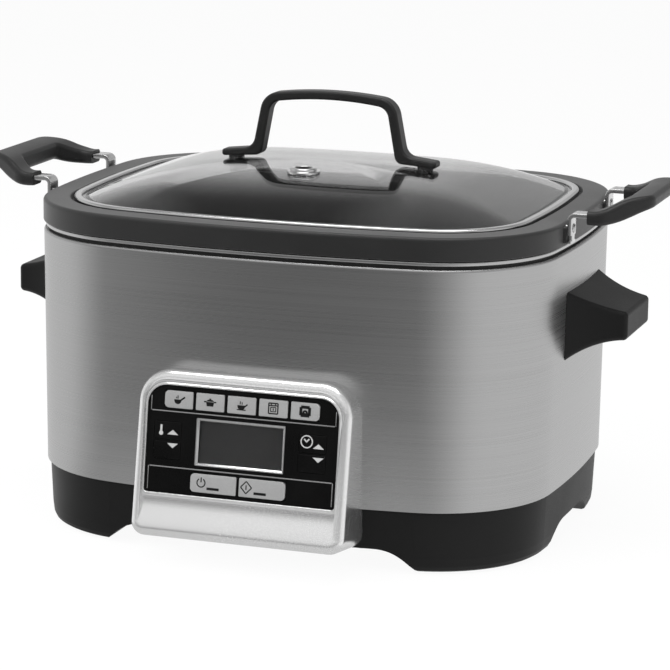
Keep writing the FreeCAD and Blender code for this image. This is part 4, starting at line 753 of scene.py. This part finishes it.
signs = {  # outlines in millimetres about the key's own centre
    "key_saute": [np.vstack([disc(-0.6, -0.4, 2.3, 180, 360, 16), [(1.7, 0.1), (-2.9, 0.1)]]),
                  stroke(1.2, -0.3, 3.9, 1.7, 0.7), stroke(-0.6, 0.6, -0.6, 2.6, 0.45),
                  stroke(-1.5, 0.7, -1.5, 1.7, 0.4)],
    "key_slow_cook": [np.array([(-2.5, 0.3), (-2.1, -2.3), (2.1, -2.3), (2.5, 0.3)]),
                      np.array([(-2.6, 0.55), (2.6, 0.55), (1.5, 1.6), (-1.5, 1.6)]),
                      stroke(-0.6, 2.0, 0.6, 2.0, 0.6), stroke(-3.9, 0.3, -2.4, 0.3, 0.6),
                      stroke(2.4, 0.3, 3.9, 0.3, 0.6)],
    "key_steam": [np.vstack([disc(-0.2, -0.4, 2.4, 180, 360, 16), [(2.2, 0.1), (-2.6, 0.1)]]),
                  stroke(-2.9, -2.6, 2.7, -2.6, 0.45), stroke(2.1, -0.6, 3.7, 0.9, 0.6),
                  stroke(-0.9, 0.6, -0.9, 2.5, 0.4), stroke(0.3, 0.6, 0.3, 2.0, 0.4)],
    "key_bake": [*loop(box(2.9, -3.1, 3.1), 0.55), stroke(-2.9, 1.7, 2.9, 1.7, 0.5),
                 stroke(-1.7, 2.4, -1.0, 2.4, 0.6), stroke(1.0, 2.4, 1.7, 2.4, 0.6),
                 *loop(box(1.6, -1.9, 0.7), 0.4), stroke(0.0, -1.3, 0.0, 0.1, 0.5)],
    "key_roast": [*loop(box(2.7, -2.5, 2.5), 1.3), band(0.0, -0.9, 1.7, 0.5, 0, 180, 18),
                  stroke(-2.2, -1.3, 2.2, -1.3, 0.6)],
    "key_power": [band(-7.6, 0.3, 2.9, 2.2, 120, 420, 40), stroke(-7.6, 0.6, -7.6, 3.6, 0.5),
                  stroke(-3.9, -2.9, 3.9, -2.9, 1.1)],
    "key_start": [*loop([(-13.4, 0.2), (-9.9, -3.5), (-6.4, 0.2), (-9.9, 3.9)], 0.5),
                  stroke(-9.9, -1.2, -9.9, 1.6, 0.5), stroke(-5.0, -2.9, 2.8, -2.9, 1.1)],
    "key_temp_up": [np.array([(-0.2, -2.4), (6.8, -2.4), (3.3, 0.5)]),
                    np.vstack([disc(-4.2, -1.8, 1.35, -240, 60, 24), [(-3.6, 3.2), (-4.8, 3.2)]])],
    "key_temp_down": [np.array([(0.0, 4.2), (3.5, 1.3), (7.0, 4.2)])],
    "key_time_up": [np.array([(0.3, -2.6), (7.3, -2.6), (3.8, 0.3)]), band(-3.7, 1.2, 3.9, 3.2, 0, 180, 24),
                    band(-3.7, 1.2, 3.9, 3.2, 180, 360, 24), stroke(-3.7, 1.0, -5.4, 2.7, 0.6),
                    stroke(-3.9, 0.9, -2.2, 2.9, 0.6)],
    "key_time_down": [np.array([(0.5, 4.0), (4.0, 1.1), (7.5, 4.0)])],
}


def printed(shape, centre, face):
    # a flat outline given a hair of thickness on the key's face
    shape = shape + np.asarray(centre)
    heights = (face + keyPlate["printLow"], face + keyPlate["printHeight"])
    rows = [np.column_stack([shape, np.full(len(shape), height)]) for height in heights]
    return solid(onPanel(np.stack(rows, axis=1)))


def keyBody(centre, size, face, corners):
    # a rounded rectangle drawn at the back, then four times moving in as it rises round the bevel
    soft = keyPlate["bevel"]
    little, more = (share * soft for share in keyPlate["bevelShares"])
    rows = [(0.0, keyPlate["back"]), (0.0, face - soft), (little, face - more), (more, face - little),
            (soft, face)]
    return solid(onPanel(insetRows(roundedBox(*size, corners, centre, steps=5), rows)))


for name, (centre, size, face, corners) in keys.items():
    slotName = slotOf[name]
    rider = name + "_body"
    putPiece(name.replace("key_", "cap_"), [keyBody(centre, size, face, corners)], finishes[slotName], rider,
             [name], sharp=40)
    ink = palePrint if face == keyPlace["darkFace"] else darkPrint
    putPiece(name.replace("key_", "sign_"), [printed(shape, centre, face) for shape in signs[name]], ink,
             rider, sharp=30)
print("keys made:", len(keys))

# spring under the sensor: round wire wound on a helix

spring = dict(radius=6.9, wire=0.62, low=32.7, high=39.3, turns=4.5, steps=180, around=10, anchor=32.0,
              keep=0.625)


def coil():
    # a circle of wire swept along a rising turn about the sensor's axis
    t = np.linspace(0, 1, spring["steps"])[:, None]
    angle = 2 * math.pi * spring["turns"] * t
    section = np.linspace(0, 2 * math.pi, spring["around"], endpoint=False)[None, :]
    radius = spring["radius"] + spring["wire"] * np.cos(section)
    height = spring["low"] + (spring["high"] - spring["low"]) * t + spring["wire"] * np.sin(section)
    return solid(np.stack([radius * np.cos(angle), radius * np.sin(angle), height], axis=-1), False, True)


springPiece = putPiece("sensorSpring", [coil()], finishes["screw_steel"], "base",
                       ["probe_spring"])
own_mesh(springPiece)
print("spring made")

# room: how bright mirrors see it by direction
# each range holds the level at its start and at its end, then the two places between which the level changes

room = dict(frontWay=(-0.17, -0.985, 0.0), sides=0.95, fadeFrom=0.5, fadeTo=1.0)


def mathNode(tree, operation, first, second=0.0):
    node = tree.nodes.new("ShaderNodeMath")
    node.operation = operation
    feed(tree, first, node.inputs[0])
    feed(tree, second, node.inputs[1])
    return node.outputs["Value"]


def highest(tree, first, *others):
    # the largest of two or more values
    for other in others:
        first = mathNode(tree, "MAXIMUM", first, other)
    return first


def vectorNode(tree, operation, first, second=None):
    node = tree.nodes.new("ShaderNodeVectorMath")
    node.operation = operation
    link(tree, first, node.inputs[0])
    if second is not None:
        node.inputs[1].default_value = second
    return node.outputs


def roomLevel(tree, where, front):
    # brightness by compass direction: its own level in front, nearly white at the sides and behind
    flat = vectorNode(tree, "MULTIPLY", where, (1.0, 1.0, 0.0))["Vector"]
    way = vectorNode(tree, "NORMALIZE", flat)["Vector"]
    turn = vectorNode(tree, "DOT_PRODUCT", way, room["frontWay"])["Value"]
    return spread(tree, turn, room["sides"], front, room["fadeFrom"], room["fadeTo"])


# floor

floorLook = dict(half=6.0, glow=0.94, colour=0.92, front=0.18, near=(0.6, 0.18, 0.25, 0.6))


def makeFloor():
    # the camera sees a nearly white floor with its shadow, mirrors see the room's own brightness on it
    material = bpy.data.materials.new("paleFloor")
    material.use_nodes = True
    tree = material.node_tree
    tree.nodes.clear()
    plain = tree.nodes.new("ShaderNodeBsdfDiffuse")
    plain.inputs["Color"].default_value = (*grey(floorLook["colour"]), 1)
    path = tree.nodes.new("ShaderNodeLightPath").outputs
    where = tree.nodes.new("ShaderNodeTexCoord").outputs["Object"]
    mirror = path["Is Glossy Ray"]
    through = highest(tree, path["Is Camera Ray"], path["Is Transmission Ray"])
    share = highest(tree, mirror, mathNode(tree, "MULTIPLY", through, floorLook["glow"]))
    near = spread(tree, vectorNode(tree, "LENGTH", where)["Value"], *floorLook["near"])
    level = highest(tree, roomLevel(tree, where, floorLook["front"]), near)
    glow = tree.nodes.new("ShaderNodeEmission")
    link(tree, blend(tree, mirror, 1.0, level), glow.inputs["Strength"])
    mix = tree.nodes.new("ShaderNodeMixShader")
    link(tree, share, mix.inputs["Fac"])
    link(tree, plain.outputs["BSDF"], mix.inputs[1])
    link(tree, glow.outputs["Emission"], mix.inputs[2])
    output = tree.nodes.new("ShaderNodeOutputMaterial")
    link(tree, mix.outputs["Shader"], output.inputs["Surface"])
    mesh = bpy.data.meshes.new("floor")
    half = floorLook["half"]
    corners = [(-half, -half, 0), (half, -half, 0), (half, half, 0), (-half, half, 0)]
    mesh.from_pydata(corners, [], [(0, 1, 2, 3)])
    mesh.materials.append(material)
    floor = bpy.data.objects.new("floor", mesh)
    bpy.context.scene.collection.objects.link(floor)


# world

studio = dict(ambient=0.4, wall=0.8, front=1.0, cardX=0.34, ceiling=(1.0, 0.2, 0.42, 0.72),
              before=(1.0, 0.0, -0.5, -0.05), beside=(0.0, 0.7, 0.03, 0.1),
              backRight=(1.0, 0.72, -0.28, -0.18), notBack=(1.0, 0.0, 0.3, 0.6),
              frontRise=(0.4, 1.0, 0.05, 0.5), notFront=(0.0, 1.0, -0.7, -0.3), bounceLimit=0.5)


def mirroredRoom(tree):
    # a dim patch of ceiling that opens before and beside it, a back wall that is dimmer on the right,
    # and a front wall that is dim near the floor
    where = tree.nodes.new("ShaderNodeTexCoord").outputs["Generated"]
    split = tree.nodes.new("ShaderNodeSeparateXYZ")
    link(tree, where, split.inputs["Vector"])
    x, y, z = (split.outputs[axis] for axis in "XYZ")
    fromCard = mathNode(tree, "ABSOLUTE", mathNode(tree, "ADD", x, studio["cardX"]))
    ceiling = highest(tree, spread(tree, z, *studio["ceiling"]), spread(tree, y, *studio["before"]),
                      spread(tree, fromCard, *studio["beside"]))
    back = highest(tree, spread(tree, x, *studio["backRight"]), spread(tree, y, *studio["notBack"]))
    front = highest(tree, spread(tree, z, *studio["frontRise"]), spread(tree, y, *studio["notFront"]))
    level = roomLevel(tree, where, studio["front"])
    for part in (ceiling, back, front, studio["wall"]):
        level = mathNode(tree, "MULTIPLY", level, part)
    return level


def makeWorld():
    # white for the camera and straight through glass, soft light for diffuse rays, the room for mirrors
    world = bpy.data.worlds.new("studio")
    bpy.context.scene.world = world
    world.use_nodes = True
    tree = world.node_tree
    tree.nodes.clear()
    path = tree.nodes.new("ShaderNodeLightPath").outputs
    bounces = mathNode(tree, "ADD", path["Diffuse Depth"], path["Glossy Depth"])
    straight = mathNode(tree, "LESS_THAN", bounces, studio["bounceLimit"])
    through = mathNode(tree, "MULTIPLY", path["Is Transmission Ray"], straight)
    seen = highest(tree, path["Is Camera Ray"], through)
    light = blend(tree, path["Is Glossy Ray"], studio["ambient"], mirroredRoom(tree))
    background = tree.nodes.new("ShaderNodeBackground")
    background.inputs["Color"].default_value = (*grey(1.0), 1)
    link(tree, blend(tree, seen, light, 1.0), background.inputs["Strength"])
    output = tree.nodes.new("ShaderNodeOutputWorld")
    link(tree, background.outputs["Background"], output.inputs["Surface"])


# lamps and camera

lamps = {  # place, point it faces, size, power
    "leftSoftbox": ((-1.6, -0.5, 0.9), (0.0, 0.0, 0.12), (0.9, 1.6), 16.0),
    "rightSoftbox": ((1.7, -0.9, 0.8), (0.0, 0.0, 0.12), (0.8, 1.5), 18.0),
    "topSoftbox": ((0.0, -0.15, 2.0), (0.0, -0.15, 0.1), (1.6, 1.0), 22.0),
    "frontSoftbox": ((-0.5, -1.7, 1.35), (0.0, 0.0, 0.1), (2.2, 1.4), 32.0),
}
shownLamp = "topSoftbox"  # the one lamp that mirrors show


def makeLamp(name, place, target, size, power):
    lamp = bpy.data.lights.new(name, "AREA")
    lamp.shape = "RECTANGLE"
    lamp.size, lamp.size_y = size
    lamp.energy = power
    item = bpy.data.objects.new(name, lamp)
    item.visible_glossy = name == shownLamp
    item.location = place
    item.rotation_euler = (Vector(target) - Vector(place)).to_track_quat("-Z", "Y").to_euler()
    bpy.context.scene.collection.objects.link(item)


view = dict(azimuth=18.58, elevation=12.40, distance=1.9418, target=(0.00472, 0.01414, 0.11374), roll=0.743,
            lens=163.1, sensor=36.0)


def makeCamera():
    # looks at the target from its compass angle and height, turned a little about its own axis
    turn, lift, roll = (math.radians(view[k]) for k in ("azimuth", "elevation", "roll"))
    back = Vector((math.sin(turn) * math.cos(lift), -math.cos(turn) * math.cos(lift), math.sin(lift)))
    right = Vector((math.cos(turn), math.sin(turn), 0))
    up = back.cross(right)
    right, up = right * math.cos(roll) + up * math.sin(roll), up * math.cos(roll) - right * math.sin(roll)
    camera = bpy.data.cameras.new("camera")
    camera.lens, camera.sensor_width, camera.sensor_fit = view["lens"], view["sensor"], "HORIZONTAL"
    item = bpy.data.objects.new("camera", camera)
    place = Vector(view["target"]) + back * view["distance"]
    item.matrix_world = Matrix.Translation(place) @ Matrix((right, up, back)).transposed().to_4x4()
    bpy.context.scene.collection.objects.link(item)
    bpy.context.scene.camera = item


for name, settings in lamps.items():
    makeLamp(name, *settings)
makeFloor()
makeWorld()
makeCamera()
bpy.context.scene.view_settings.view_transform = "Standard"
bpy.context.view_layer.update()
print("stage set")
